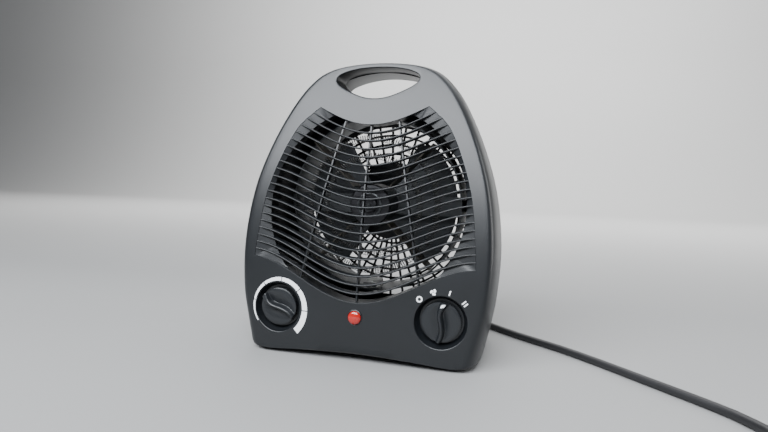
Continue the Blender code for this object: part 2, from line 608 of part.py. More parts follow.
def build_motor():
    centre = (0, AXIS_Z)
    motor = make_object("motor_body", *turned_y(centre, [
        (0.0070, MOTOR_Y[0] - 0.0035), (0.0070, MOTOR_Y[0]), (MOTOR_R - 0.0015, MOTOR_Y[0]),
        (MOTOR_R, MOTOR_Y[0] + 0.0015), (MOTOR_R, MOTOR_Y[1]), (0.0070, MOTOR_Y[1]),
        (0.0070, MOTOR_Y[1] + 0.003)], 28))
    combine(motor, turned_y(centre, [(0.0018, -0.05), (0.0018, 0.05)], 12), "DIFFERENCE")
    for s in (-1, 1):
        screw_bore = turned_y((s * MOTOR_SCREW_X, AXIS_Z), [(0.0014, 0.0), (0.0014, 0.02)], 10)
        combine(motor, screw_bore, "DIFFERENCE")
    finish_object(motor, DARK_STEEL)
    plate_y = (MOTOR_Y[1] + GAP, MOTOR_Y[1] + GAP + 0.0016)
    reach = DUCT_R - 0.0014
    bar = block((-reach, plate_y[0], AXIS_Z - 0.009), (reach, plate_y[1], AXIS_Z + 0.009))
    bracket = make_object("motor_bracket", *bar)
    disc = turned_y(centre, [(MOTOR_R, plate_y[0] + 0.0002), (MOTOR_R, plate_y[1] - 0.0002)], 28)
    combine(bracket, disc, "UNION")
    combine(bracket, turned_y(centre, [(0.0073, 0.0), (0.0073, 0.02)], 20), "DIFFERENCE")
    for s in (-1, 1):
        place = (s * MOTOR_SCREW_X, AXIS_Z)
        combine(bracket, turned_y(place, [(0.0014, 0.0), (0.0014, 0.02)], 10), "DIFFERENCE")
        head = plate_y[1] + GAP
        screw = [(0.0011, 0.0004), (0.0011, head), (0.0026, head), (0.0026, head + 0.0014)]
        part(f"motor_screw_{'left' if s < 0 else 'right'}", turned_y(place, screw, 10), STEEL)
    finish_object(bracket, STEEL)
    rod = [(0.0015, MOTOR_Y[0] - 0.0050), (0.0015, FAN_Y + 0.0125)]
    set_origin(part("motor_shaft", turned_y(centre, rod, 12), STEEL), (0, FAN_Y, AXIS_Z))
    cap_profile = [(0.0040, FAN_Y + 0.0093), (0.0040, FAN_Y + 0.0120), (0.0030, FAN_Y + 0.0135)]
    cap = make_object("fan_cap", *turned_y(centre, cap_profile, 16))
    combine(cap, turned_y(centre, [(0.0018, 0.0), (0.0018, FAN_Y + 0.0129)], 12), "DIFFERENCE")
    set_origin(finish_object(cap, KNOB), (0, FAN_Y, AXIS_Z))


def blade(turn_deg, span_deg=118.0):
    """One broad twisted blade: its edge runs forward on one side and back on the other."""
    radii = [0.010, 0.028, 0.046, 0.060, BLADE_R]
    columns = 7
    upper, lower = [], []
    for radius in radii:
        for c in range(columns):
            share = c / (columns - 1) - 0.5
            angle = math.radians(turn_deg + span_deg * share)
            y = FAN_Y + 0.0132 * share + 0.004 * (share * share - 0.25)
            place = Vector((radius * math.cos(angle), y, AXIS_Z + radius * math.sin(angle)))
            upper.append(place - Vector((0, 0.0006, 0)))
            lower.append(place + Vector((0, 0.0006, 0)))
    count = len(upper)
    faces = []
    for r in range(len(radii) - 1):
        for c in range(columns - 1):
            a, b = r * columns + c, r * columns + c + 1
            d, e = b + columns, a + columns
            faces += [(a, b, d, e), (count + e, count + d, count + b, count + a)]
    edge = [c for c in range(columns)] + [r * columns + columns - 1 for r in range(1, len(radii))]
    edge += [(len(radii) - 1) * columns + c for c in range(columns - 2, -1, -1)]
    edge += [r * columns for r in range(len(radii) - 2, 0, -1)]
    for i, a in enumerate(edge):
        b = edge[(i + 1) % len(edge)]
        faces.append((b, a, count + a, count + b))
    return outward((upper + lower, faces))


def build_fan():
    centre = (0, AXIS_Z)
    fan = make_object("fan_impeller", *turned_y(centre, [
        (0.0150, FAN_Y - 0.0090), (0.0165, FAN_Y - 0.0075), (0.0165, FAN_Y + 0.0075),
        (0.0120, FAN_Y + 0.0090)], 24))
    for turn in (178.0, 2.0):
        combine(fan, blade(turn), "UNION", "MANIFOLD")
    combine(fan, turned_y(centre, [(0.0018, 0.0), (0.0018, 0.05)], 12), "DIFFERENCE")
    set_origin(finish_object(fan, FAN), (0, FAN_Y, AXIS_Z))


def coil_ring(radius, minor, sides, minor_sides):
    """Fat ring that a heating coil fills."""
    profile = [(radius + a, COIL_Y + b) for a, b in circle(minor, minor_sides)]
    return revolved(profile, (0, AXIS_Z), sides)


def build_element():
    for name, radius in zip(("heating_coil_inner", "heating_coil_outer"), COIL_RADII):
        part(name, coil_ring(radius, COIL_R, 28, 6), WIRE)
    inner_end, outer_end = MOTOR_R + 0.004, DUCT_R - 0.0006
    for index, turn in enumerate((45, 135, 225, 315)):
        board = block((inner_end, MICA_Y[0], -0.0005), (outer_end, MICA_Y[1], 0.0005))
        turned = Matrix.Translation((0, 0, AXIS_Z)) @ Matrix.Rotation(math.radians(-turn), 4, "Y")
        mica = make_object(f"mica_board_{index + 1}", *placed(board, turned))
        for radius in COIL_RADII:
            combine(mica, coil_ring(radius, COIL_R + GAP * 2, 28, 6), "DIFFERENCE")
        finish_object(mica, MICA)
    base = AXIS_Z - DUCT_R
    part("thermal_cutout", turned_z((0, 0), [(0.0075, base + 0.0010), (0.0075, base + 0.0085)], 20), WHITE)
    fuse_ring = circle(0.0020, 10)
    fuse = [[Vector((x, COIL_Y + a, base + 0.0055 + b)) for a, b in fuse_ring] for x in (-0.006, 0.006)]
    part("thermal_fuse", lofted(fuse), STEEL)


# ---------------------------------------------------------------- wiring, cord and plug
def tube_along(name, points, radius, material, steps=3, resolution=2):
    """Round cable along a smooth line through the points, as a curve with filled ends."""
    line = catmull(points, steps)
    curve = bpy.data.curves.new(name, "CURVE")
    curve.dimensions = "3D"
    curve.bevel_depth = radius
    curve.bevel_resolution = resolution
    curve.use_fill_caps = True
    spline = curve.splines.new("POLY")
    spline.points.add(len(line) - 1)
    for point, place in zip(spline.points, line):
        point.co = (*place, 1.0)
    curve.materials.append(material)
    thing = bpy.data.objects.new(name, curve)
    bpy.context.scene.collection.objects.link(thing)
    return thing


def build_wiring():
    part("terminal_block", block((0.006, 0.016, 0.0085), (0.032, 0.032, 0.0205)), WHITE)
    tube_along("supply_lead", [(GLAND_X, 0.0530, GLAND_Z), (GLAND_X, 0.045, 0.0205), (0.030, 0.038, 0.017),
                               (0.0265, 0.0338, 0.0150)], 0.0024, CORD)
    tube_along("switch_lead", [(0.026, 0.0145, 0.0150), (0.031, 0.006, 0.020), (0.052, -0.010, 0.0325),
                               (DIAL_X, -0.0236, 0.0380)], 0.0012, LEAD)
    tube_along("thermostat_lead", [(0.014, 0.0145, 0.0150), (0.006, 0.005, 0.020), (-0.040, -0.008, 0.033),
                                   (-DIAL_X, -0.0276, 0.0380)], 0.0012, LEAD)


def build_cord():
    gland = [(0.0036, 0.0540), (0.0046, 0.0545), (0.0046, 0.0639), (0.0085, 0.0640), (0.0085, 0.0660),
             (0.0062, 0.0680), (0.0044, GLAND_END_Y)]
    part("cord_gland", turned_y((GLAND_X, GLAND_Z), gland, 20), RUBBER)
    meets = math.radians(COIL_MEETS_DEG)
    reach = SPARE_COIL_R[1] + GAP + CORD_R
    last = (COIL_CENTRE[0] + reach * math.cos(meets), COIL_CENTRE[1] + reach * math.sin(meets), 0.0046)
    tube_along("supply_cord", CORD_ROUTE + [last], CORD_R, CORD)
    lying = Matrix.Translation((*COIL_CENTRE, 0)) @ Matrix.Rotation(math.radians(90), 4, "X")
    coil = revolved(rounded_section(SPARE_COIL_R, SPARE_COIL_Z, 0.0028), (0, 0), 36)
    part("cord_coil", placed(coil, lying), CORD)


def rounded_section(across, up, corner):
    """Closed rectangle with cut corners, as (radius, height) points."""
    (a, b), (c, d) = across, up
    return [(a, c + corner), (a + corner, c), (b - corner, c), (b, c + corner),
            (b, d - corner), (b - corner, d), (a + corner, d), (a, d - corner)]


def build_tie():
    """Flat strap round the spare coil."""
    gap, (z_low, z_high) = 0.0002, SPARE_COIL_Z
    r_low, r_high = SPARE_COIL_R[0] - 0.0008, SPARE_COIL_R[1]
    rings = []
    for x, grow in ((-1, 0), (1, 0), (1, 1), (-1, 1)):
        edge = gap + grow * TIE_T
        section = rounded_section((r_low - edge, r_high + edge), (z_low - edge, z_high + edge), 0.0026)
        rings.append([Vector((r, x * TIE_WIDTH / 2, z)) for r, z in section])
    vertices = [v for ring in rings for v in ring]
    count = len(rings[0])
    faces = []
    for k in range(4):
        for i in range(count):
            j, n = (i + 1) % count, (k + 1) % 4
            faces.append((k * count + i, k * count + j, n * count + j, n * count + i))
    place = Matrix.Translation((*COIL_CENTRE, 0)) @ Matrix.Rotation(math.radians(TIE_DEG), 4, "Z")
    part("cord_tie", placed(outward((vertices, faces)), place), CORD)


def build_plug():
    """Flat two-pin plug lying beside the coil; local +Y runs from the cord to the pins."""
    where, turn = math.radians(PLUG_DEG), math.radians(PLUG_DEG + PLUG_TURN_DEG)
    reach = SPARE_COIL_R[1] + GAP + PLUG_SECTIONS[0][1]
    origin = (COIL_CENTRE[0] + reach * math.cos(where), COIL_CENTRE[1] + reach * math.sin(where), PLUG_Z)
    place = Matrix.Translation(origin) @ Matrix.Rotation(turn, 4, "Z")
    rings = []
    for y, half_x, half_z in PLUG_SECTIONS:
        ring = []
        for a, b in circle(1.0, 16):
            blunt = (abs(a) ** 3 + abs(b) ** 3) ** (1 / 3)
            ring.append(Vector((half_x * a / blunt, y, half_z * b / blunt)))
        rings.append(ring)
    plug = make_object("plug_body", *placed(outward(lofted(rings)), place))
    face = PLUG_SECTIONS[-1][0]
    for s in (-1, 1):
        centre = (s * PIN_PITCH / 2, 0)
        socket = turned_y(centre, [(PIN_R + GAP, face - PIN_SOCKET - GAP), (PIN_R + GAP, face + 0.01)], 12)
        combine(plug, placed(socket, place), "DIFFERENCE")
        pin = turned_y(centre, [(PIN_R, face - PIN_SOCKET), (PIN_R, face + PIN_LENGTH - 0.0012),
                                (PIN_R - 0.0010, face + PIN_LENGTH)], 12)
        part(f"plug_pin_{'left' if s < 0 else 'right'}", placed(pin, place), BRASS)
    finish_object(plug, CORD)


def build_screws_and_feet():
    head = SCREW_HEAD_Y + GAP
    for index, (x, z) in enumerate(CASE_SCREWS):
        for s in (-1, 1):
            name = f"case_screw_{'left' if s < 0 else 'right'}_{index + 1}"
            screw = [(0.0013, screw_tip_y(x, z)), (0.0013, head), (0.0030, head), (0.0030, head + 0.0016)]
            part(name, turned_y((s * x, z), screw, 12), STEEL)
    for y, place in zip(FOOT_Y, ("front", "rear")):
        for s in (-1, 1):
            name = f"foot_{place}_{'left' if s < 0 else 'right'}"
            foot = [(FOOT_R - 0.0008, 0), (FOOT_R, 0.0008), (FOOT_R, FOOT_H)]
            part(name, turned_z((s * FOOT_X, y), foot, 16), RUBBER)


def build():
    for thing in list(bpy.data.objects):
        bpy.data.objects.remove(thing)
    build_front_shell()
    build_rear_shell()
    build_dial(-1, "thermostat_knob", "thermostat_shaft", "thermostat", THERMOSTAT_POINTER_DEG)
    build_dial(1, "mode_knob", "mode_switch_shaft", "mode_switch", MODE_POINTER_DEG)
    build_indicator()
    build_duct()
    build_motor()
    build_fan()
    build_element()
    build_wiring()
    build_cord()
    build_tie()
    build_plug()
    build_screws_and_feet()


build()
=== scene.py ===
"""Looks of an upright fan heater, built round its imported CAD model.

Units are metres, +Z is up and the outlet grille faces -Y.
"""

import json
import math

import bmesh
import bpy
from mathutils import Matrix, Vector
from mathutils.geometry import interpolate_bezier


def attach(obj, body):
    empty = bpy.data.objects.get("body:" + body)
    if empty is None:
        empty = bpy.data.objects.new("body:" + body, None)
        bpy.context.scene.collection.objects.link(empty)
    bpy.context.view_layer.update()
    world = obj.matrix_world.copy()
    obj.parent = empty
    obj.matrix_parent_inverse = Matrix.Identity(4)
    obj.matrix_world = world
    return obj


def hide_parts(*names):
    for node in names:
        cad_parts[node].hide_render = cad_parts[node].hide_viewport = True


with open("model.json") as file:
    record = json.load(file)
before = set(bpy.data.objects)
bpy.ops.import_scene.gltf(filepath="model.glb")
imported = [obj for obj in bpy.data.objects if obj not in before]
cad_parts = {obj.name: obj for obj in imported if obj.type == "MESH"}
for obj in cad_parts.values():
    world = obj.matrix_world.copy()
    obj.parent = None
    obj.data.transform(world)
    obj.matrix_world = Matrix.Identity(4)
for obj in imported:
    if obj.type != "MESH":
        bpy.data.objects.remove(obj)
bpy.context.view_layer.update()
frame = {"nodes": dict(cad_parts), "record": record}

# ---------------------------------------------------------------- camera
CAMERA_AT = Vector((0.1333, -0.4710, 0.1529))
YAW, PITCH, ROLL = math.radians(-15.03), math.radians(3.74), math.radians(1.735)
LENS, SENSOR = 24.375, 36.0


def make_camera():
    """Camera at the photograph's place and angle: turned, tilted down, then rolled."""
    level = math.cos(PITCH)
    forward = Vector((math.sin(YAW) * level, math.cos(YAW) * level, -math.sin(PITCH)))
    level_right = Vector((math.cos(YAW), -math.sin(YAW), 0.0))
    level_up = level_right.cross(forward)
    right = level_right * math.cos(ROLL) + level_up * math.sin(ROLL)
    up = level_up * math.cos(ROLL) - level_right * math.sin(ROLL)
    data = bpy.data.cameras.new("camera")
    data.lens, data.sensor_width = LENS, SENSOR
    data.clip_start, data.clip_end = 0.01, 50.0
    camera = bpy.data.objects.new("camera", data)
    bpy.context.scene.collection.objects.link(camera)
    turn = Matrix((right, up, -forward)).transposed().to_4x4()
    camera.matrix_world = Matrix.Translation(CAMERA_AT) @ turn
    bpy.context.scene.camera = camera


make_camera()

# ---------------------------------------------------------------- dimensions
WALL = 0.0024
SPLIT_Y, SEAM = 0.0140, 0.0003
FRONT_Y, FRONT_LEAN, FRONT_BOW = -0.0614, 0.802, 0.373
REAR_Y, REAR_LEAN, REAR_BOW = 0.0635, 0.24, 0.35
FACE_HALF = [
    (0.000, 0.0092), (0.042, 0.0064), (0.0710, 0.0038), (0.0845, 0.0034), (0.0893, 0.0055),
    (0.0917, 0.0140), (0.0955, 0.0290), (0.1030, 0.0530), (0.1064, 0.0900), (0.1046, 0.1310),
    (0.0976, 0.1650), (0.0823, 0.2050), (0.0622, 0.2380), (0.0395, 0.2552), (0.000, 0.2602),
]
RIM_HALF = [
    (0.000, 0.0030), (0.050, 0.0030), (0.0850, 0.0030), (0.0990, 0.0030), (0.1043, 0.0055),
    (0.1065, 0.0140), (0.1098, 0.0290), (0.1134, 0.0530), (0.1154, 0.0920), (0.1121, 0.1300),
    (0.1043, 0.1650), (0.0893, 0.2050), (0.0700, 0.2390), (0.0460, 0.2566), (0.000, 0.2620),
]
BACK_HALF = [
    (0.000, 0.0035), (0.045, 0.0035), (0.0760, 0.0035), (0.0890, 0.0035), (0.0938, 0.0058),
    (0.0955, 0.0140), (0.0985, 0.0290), (0.1018, 0.0530), (0.1040, 0.0910), (0.1020, 0.1300),
    (0.0945, 0.1630), (0.0805, 0.2020), (0.0635, 0.2350), (0.0415, 0.2545), (0.000, 0.2602),
]
HOLE_HALF = [
    (0.000, 0.2274), (0.0125, 0.2292), (0.0255, 0.2345), (0.0342, 0.2395), (0.0388, 0.2445),
    (0.0375, 0.2492), (0.0295, 0.2532), (0.016, 0.2560), (0.000, 0.2568),
]
REAR_HOLE_HALF = [
    (0.000, 0.2274), (0.0150, 0.2292), (0.0300, 0.2330), (0.0400, 0.2375), (0.0452, 0.2422),
    (0.0425, 0.2472), (0.0315, 0.2518), (0.016, 0.2552), (0.000, 0.2564),
]
FACE_CENTRE = Vector((0.0, 0.130))
FRONT_SIDE, REAR_SIDE = (0.95, 0.02, 1.0, 0.28), (0.50, 0.02, 0.90, 0.25)
OUTLINE_STEPS, FACE_RINGS, SIDE_RINGS = 7, 22, 14

ROWS, ROW_TOP_Z, ROW_PITCH = 22, 0.2029, 0.007257
WAVE_WIDTH, WAVE_MIN, WAVE_MORE, WAVE_MIN_ROW = 0.102, 0.0267, 0.0068, 9.0
TIP_LINE = [
    (0.0498, 0.2194), (0.0675, 0.2031), (0.0783, 0.1829), (0.0881, 0.1562), (0.0938, 0.1295),
    (0.0969, 0.1019), (0.0983, 0.0838),
]
RIB_THICKNESS, RIB_DEPTH, RIB_SET_BACK = 0.0017, 0.0080, 0.0002
WELL_ACROSS, WELL_TOP_START = 48, 48 + 1 + 2 * ROWS - 3
RAMP_R, RAMP_DEPTH, FUNNEL_END = 0.0880, 0.0034, (-0.0540, 0.2050)
STRUT_TOP, STRUT_LEAN = (0.0250, 0.2050), 0.185

DIAL_X, DIAL_Z = 0.0723, 0.0402
DIAL_R, DIAL_FLOOR_R, DIAL_FLOOR_Y, DIAL_EDGE = 0.0214, 0.0187, -0.0502, 0.0010
KNOB_R, KNOB_BACK_Y, KNOB_FACE_Y = 0.0165, -0.0526, -0.0564
HUB_R, GRIP_Y = 0.0056, -0.0604
THERMOSTAT_POINTER_DEG, MODE_POINTER_DEG = 145.0, 80.0
LENS_Z, LENS_R = 0.0382, 0.0057
SCALE_X, SCALE_INNER_R, SCALE_THIN, SCALE_THICK = -DIAL_X + 0.0006, 0.0230, 0.0010, 0.0056
SCALE_CUTS_DEG, SCALE_GAP_DEG = (215.0, 169.0, 127.0, 85.0, 41.0, -2.0, -47.0), 0.9
SYMBOL_R, SYMBOL_DEG = 0.0254, (135.0, 105.5, 75.0, 41.5)
INK_SINK, INK_THICK = 0.00008, 0.00016

AXIS_Z = 0.1320
DUCT_R, DUCT_T, DUCT_Y = 0.0790, 0.0016, (-0.0085, 0.0340)
LUG_END_X, LUG_SCREW_X, LUG_HALF, LUG_HALF_T = 0.1000, 0.0955, 0.006, 0.001
MOTOR_R, MOTOR_Y = 0.0190, (-0.0250, 0.0060)
FAN_Y, BLADE_R, BLADE_ROOT_R, BLADE_SPAN_DEG = 0.0230, 0.0730, 0.010, 118.0
COIL_RADII, COIL_R, COIL_Y = (0.0440, 0.0600), 0.0032, -0.0170
INTAKE_Z, INTAKE_R, INTAKE_RINGS, INTAKE_SPOKES, INTAKE_BAR = 0.1215, 0.0885, 9, 40, 0.0021
PLATE_R, PLATE_Z = 0.0400, 0.1330

CORD_R, CORD_PITCH, CORD_LENGTH = 0.0034, 0.0068, 1.25
GLAND_X, GLAND_Z, GLAND_END_Y = 0.0350, 0.0210, 0.0880
COIL_CENTRE, COIL_MID_R, COIL_LIFT = (0.3350, -0.1350), 0.0375, 0.0012
COIL_FROM_DEG, COIL_TURN_DEG = 189.0, 1251.0
INWARD_DEG, RISE_DEG, OUTWARD_DEG, CHANGE_DEG = 444.0, 804.0, 1065.0, 105.0
DIP_DEG, DIP_SPAN_DEG, DIP = 766.0, 181.0, 0.0038
PLUG_DEG, PLUG_REACH, PLUG_TURN_DEG, PLUG_Z = 32.6, 0.0488, -32.6, 0.0083


# ---------------------------------------------------------------- shape helpers
def front_y(x, z):
    return FRONT_Y + FRONT_LEAN * z * z + FRONT_BOW * x * x


def rear_y(x, z):
    return REAR_Y - REAR_LEAN * z * z - REAR_BOW * x * x


def catmull(points, steps):
    """Smooth curve through the points, with that many steps between two of them."""
    result = []
    for i in range(len(points) - 1):
        p0 = Vector(points[max(i - 1, 0)])
        p1, p2 = Vector(points[i]), Vector(points[i + 1])
        p3 = Vector(points[min(i + 2, len(points) - 1)])
        handle_1, handle_2 = p1 + (p2 - p0) / 6, p2 - (p3 - p1) / 6
        result += interpolate_bezier(p1, handle_1, handle_2, p2, steps + 1)[:-1]
    return result + [Vector(points[-1])]


def closed_outline(half, steps):
    """Both halves of a symmetric outline as (x, z), anticlockwise from bottom centre."""
    mirrored = [(-half[1][0], half[1][1])] + list(half) + [(-half[-2][0], half[-2][1])]
    right = catmull(mirrored, steps)[steps:-steps]
    left = [Vector((-p.x, p.y)) for p in reversed(right[1:-1])]
    return [Vector((p.x, p.y)) for p in right] + left


def inset(points, distance):
    """The closed outline moved inwards by a distance (outwards if it is negative)."""
    result = []
    for i, point in enumerate(points):
        along = points[(i + 1) % len(points)] - points[i - 1]
        result.append(point + Vector((-along.y, along.x)).normalized() * distance)
    return result


def make_object(name, vertices, faces, material=None, smooth_deg=35.0):
    mesh = bpy.data.meshes.new(name)
    mesh.from_pydata([tuple(v) for v in vertices], [], faces)
    mesh.validate()
    thing = bpy.data.objects.new(name, mesh)
    bpy.context.scene.collection.objects.link(thing)
    return finish_object(thing, material, smooth_deg)


def finish_object(thing, material, smooth_deg=35.0):
    if material is not None:
        thing.data.materials.clear()
        thing.data.materials.append(material)
    thing.data.shade_smooth()
    thing.data.set_sharp_from_angle(angle=math.radians(smooth_deg))
    return thing


def lofted(rings, first_centre=None, last_centre=None):
    """Closed loft through rings of equal length; ends are fans if a centre is given, or flat caps."""
    count = len(rings[0])
    vertices = [v for ring in rings for v in ring]
    faces = []
    for r in range(len(rings) - 1):
        for i in range(count):
            j = (i + 1) % count
            a, b = r * count, (r + 1) * count
            faces.append((a + i, a + j, b + j, b + i))
    last = (len(rings) - 1) * count
    for centre, start, forward in ((first_centre, 0, False), (last_centre, last, True)):
        ring = [start + i for i in range(count)]
        if centre is None:
            faces.append(tuple(ring if forward else reversed(ring)))
            continue
        vertices.append(centre)
        tip = len(vertices) - 1
        for i in range(count):
            a, b = ring[i], ring[(i + 1) % count]
            faces.append((tip, a, b) if forward else (tip, b, a))
    return vertices, faces


def merged(solids):
    """Several separate solids, each (vertices, faces), as one."""
    vertices, faces = [], []
    for more_vertices, more_faces in solids:
        start = len(vertices)
        vertices += more_vertices
        faces += [tuple(start + i for i in face) for face in more_faces]
    return vertices, faces


def outward(solid):
    """The solid with its faces turned out, judged by its signed volume."""
    vertices, faces = solid
    volume = 0.0
    for face in faces:
        a = Vector(vertices[face[0]])
        for i in range(1, len(face) - 1):
            volume += a.dot(Vector(vertices[face[i]]).cross(Vector(vertices[face[i + 1]])))
    return solid if volume > 0 else (vertices, [tuple(reversed(face)) for face in faces])


def circle(radius, sides):
    angles = [math.tau * i / sides for i in range(sides)]
    return [(radius * math.cos(t), radius * math.sin(t)) for t in angles]


def turned_y(centre, profile, sides):
    """Solid turned about an axis along Y through centre (x, z), from (radius, y) pairs."""
    rings = [[Vector((centre[0] + a, y, centre[1] + b)) for a, b in circle(r, sides)]
             for r, y in profile]
    return outward(lofted(rings))


def revolved(profile, centre, sides):
    """Closed (radius, y) profile turned about an axis along Y into a ring."""
    vertices, faces = [], []
    count = len(profile)
    for a, b in circle(1.0, sides):
        vertices += [Vector((centre[0] + a * r, y, centre[1] + b * r)) for r, y in profile]
    for s in range(sides):
        a, b = s * count, ((s + 1) % sides) * count
        for i in range(count):
            j = (i + 1) % count
            faces.append((a + i, a + j, b + j, b + i))
    return outward((vertices, faces))


def prism_y(outline, y_low, y_high):
    rings = [[Vector((p[0], y, p[1])) for p in outline] for y in (y_low, y_high)]
    return outward(lofted(rings))


def combine(thing, solid, operation):
    """Cuts the solid from the object or joins it, by a Boolean that is applied at once."""
    tool = make_object("tool", *outward(solid))
    modifier = thing.modifiers.new("cut", "BOOLEAN")
    modifier.operation = operation
    modifier.solver = "MANIFOLD"
    modifier.object = tool
    bpy.context.view_layer.update()
    evaluated = thing.evaluated_get(bpy.context.evaluated_depsgraph_get())
    result = bpy.data.meshes.new_from_object(evaluated)
    thing.modifiers.clear()
    thing.data = result
    bpy.data.objects.remove(tool)


def solid_of(thing):
    """Takes the object out of the scene and returns its (vertices, faces)."""
    vertices = [v.co.copy() for v in thing.data.vertices]
    faces = [tuple(p.vertices) for p in thing.data.polygons]
    bpy.data.objects.remove(thing)
    return vertices, faces


def lip(radius, steps=4):
    """Rounded edge of a cut into the face, as (how far outside the outline, how deep)."""
    turns = [math.pi / 2 * i / steps for i in range(steps + 1)]
    return [(radius * (1 - math.sin(t)), radius * (1 - math.cos(t))) for t in turns]


def face_cutter(outline, profile, surface, outside_y, end_y):
    """Cutter that follows a bowed face: a rounded lip, then straight on to end_y."""
    side = 1.0 if end_y > outside_y else -1.0
    wide = inset(outline, -profile[0][0])
    rings = [[Vector((p.x, outside_y, p.y)) for p in wide]]
    for out, depth in profile:
        ring = inset(outline, -out)
        rings.append([Vector((p.x, surface(p.x, p.y) + side * depth, p.y)) for p in ring])
    rings.append([Vector((p.x, end_y, p.y)) for p in outline])
    return outward(lofted(rings))


# ---------------------------------------------------------------- materials
def make_material(name, colour, roughness, metallic=0.0, grain=0.0, grain_size=900.0,
                  mottle=0.12):
    """Principled surface whose colour and roughness drift a little, with an optional fine grain."""
    material = bpy.data.materials.new(name)
    material.use_nodes = True
    nodes, links = material.node_tree.nodes, material.node_tree.links
    shader = nodes["Principled BSDF"]
    shader.inputs["Metallic"].default_value = metallic
    where = nodes.new("ShaderNodeTexCoord")
    drift = nodes.new("ShaderNodeTexNoise")
    drift.inputs["Scale"].default_value = 26.0
    drift.inputs["Detail"].default_value = 4.0
    links.new(where.outputs["Object"], drift.inputs["Vector"])
    shade = nodes.new("ShaderNodeValToRGB")
    shade.color_ramp.elements[0].position, shade.color_ramp.elements[1].position = 0.3, 0.7
    for element, factor in zip(shade.color_ramp.elements, (1 - mottle, 1 + mottle)):
        element.color = (*[min(1.0, c * factor) for c in colour], 1.0)
    links.new(drift.outputs["Fac"], shade.inputs["Fac"])
    links.new(shade.outputs["Color"], shader.inputs["Base Color"])
    rough = nodes.new("ShaderNodeMapRange")
    rough.inputs["To Min"].default_value = max(0.02, roughness * 0.92)
    rough.inputs["To Max"].default_value = min(1.0, roughness * 1.08)
    links.new(drift.outputs["Fac"], rough.inputs["Value"])
    links.new(rough.outputs["Result"], shader.inputs["Roughness"])
    if grain:
        fine = nodes.new("ShaderNodeTexNoise")
        fine.inputs["Scale"].default_value = grain_size
        fine.inputs["Detail"].default_value = 2.0
        links.new(where.outputs["Object"], fine.inputs["Vector"])
        bump = nodes.new("ShaderNodeBump")
        bump.inputs["Strength"].default_value = grain
        bump.inputs["Distance"].default_value = 0.0002
        links.new(fine.outputs["Fac"], bump.inputs["Height"])
        links.new(bump.outputs["Normal"], shader.inputs["Normal"])
    return material


BODY = make_material("body_plastic", (0.0055, 0.0066, 0.0080), 0.37, grain=0.12)
REAR = make_material("rear_plastic", (0.0060, 0.0070, 0.0082), 0.38, grain=0.12)
KNOB = make_material("knob_plastic", (0.0085, 0.0098, 0.0115), 0.30, grain=0.05)
INK = make_material("white_ink", (0.84, 0.85, 0.86), 0.45, mottle=0.02)
STEEL = make_material("dark_steel", (0.10, 0.105, 0.11), 0.42, metallic=0.6)
MOTOR = make_material("motor_steel", (0.06, 0.06, 0.065), 0.42, metallic=0.8)
FAN = make_material("fan_plastic", (0.055, 0.060, 0.066), 0.42, grain=0.1)
MICA = make_material("mica_sheet", (0.075, 0.065, 0.050), 0.55, mottle=0.25)
WIRE = make_material("resistance_wire", (0.22, 0.21, 0.20), 0.38, metallic=1.0)
WHITE = make_material("white_moulding", (0.78, 0.77, 0.73), 0.45, mottle=0.04)
RUBBER = make_material("black_rubber", (0.013, 0.013, 0.014), 0.72, grain=0.2)
SHEATH = make_material("cord_sheath", (0.012, 0.012, 0.013), 0.40, grain=0.06)
STRAP = make_material("tie_strap", (0.02, 0.02, 0.021), 0.8, grain=0.5, grain_size=1600.0)
NICKEL = make_material("plug_nickel", (0.72, 0.69, 0.62), 0.22, metallic=1.0)
LEAD = make_material("lead_insulation", (0.16, 0.07, 0.03), 0.50)


def lens_material():
    material = make_material("red_lens", (0.36, 0.008, 0.004), 0.10, mottle=0.05)
    shader = material.node_tree.nodes["Principled BSDF"]
    shader.inputs["Coat Weight"].default_value = 0.8
    shader.inputs["Coat Roughness"].default_value = 0.05
    return material


LENS_RED = lens_material()


# ---------------------------------------------------------------- shells
def shell_solid(face_half, rim_half, handles, surface, start_y, offset=0.0, past=0.0):
    """Solid half of the body: a bowed face, then sides that curve out to the rim at start_y."""
    face = inset(closed_outline(face_half, OUTLINE_STEPS), offset)
    rim = inset(closed_outline(rim_half, OUTLINE_STEPS), offset)
    side = 1.0 if surface(0, 0) > start_y else -1.0

    def on_face(p):
        return Vector((p.x, surface(p.x, p.y) - side * offset, p.y))

    rings = []
    for k in range(1, FACE_RINGS + 1):
        share = k / FACE_RINGS
        rings.append([on_face(FACE_CENTRE + (p - FACE_CENTRE) * share) for p in face])
    for k in range(1, SIDE_RINGS + 1):
        t = k / SIDE_RINGS
        ring = []
        for f, r in zip(face, rim):
            begin, end = on_face(f), Vector((r.x, start_y, r.y))
            out = end - begin
            first = begin + Vector((out.x * handles[0], out.y * handles[1], out.z * handles[0]))
            second = begin + Vector((out.x * handles[2], out.y * handles[3], out.z * handles[2]))
            u = 1 - t
            ring.append(begin * u**3 + first * 3 * u * u * t + second * 3 * u * t * t + end * t**3)
        rings.append(ring)
    if past:
        rings.append([Vector((p.x, start_y - side * past, p.z)) for p in rings[-1]])
    return outward(lofted(rings, first_centre=on_face(FACE_CENTRE)))


def wave_z(row, x):
    """Height of a rib's centre line at x."""
    rows_to_edge = WAVE_MIN_ROW if row < WAVE_MIN_ROW else ROWS - 1 - WAVE_MIN_ROW
    rows_away = (row - WAVE_MIN_ROW) / rows_to_edge
    height = WAVE_MIN + WAVE_MORE * rows_away**2
    return ROW_TOP_Z - ROW_PITCH * row + height * (1 - math.cos(math.pi * x / WAVE_WIDTH)) / 2


TIPS = catmull(TIP_LINE, 24)


def tip_x(row):
    """Half length of a row, where its wave meets the line of tips."""
    return min(TIPS, key=lambda p: abs(p.y - wave_z(row, p.x))).x


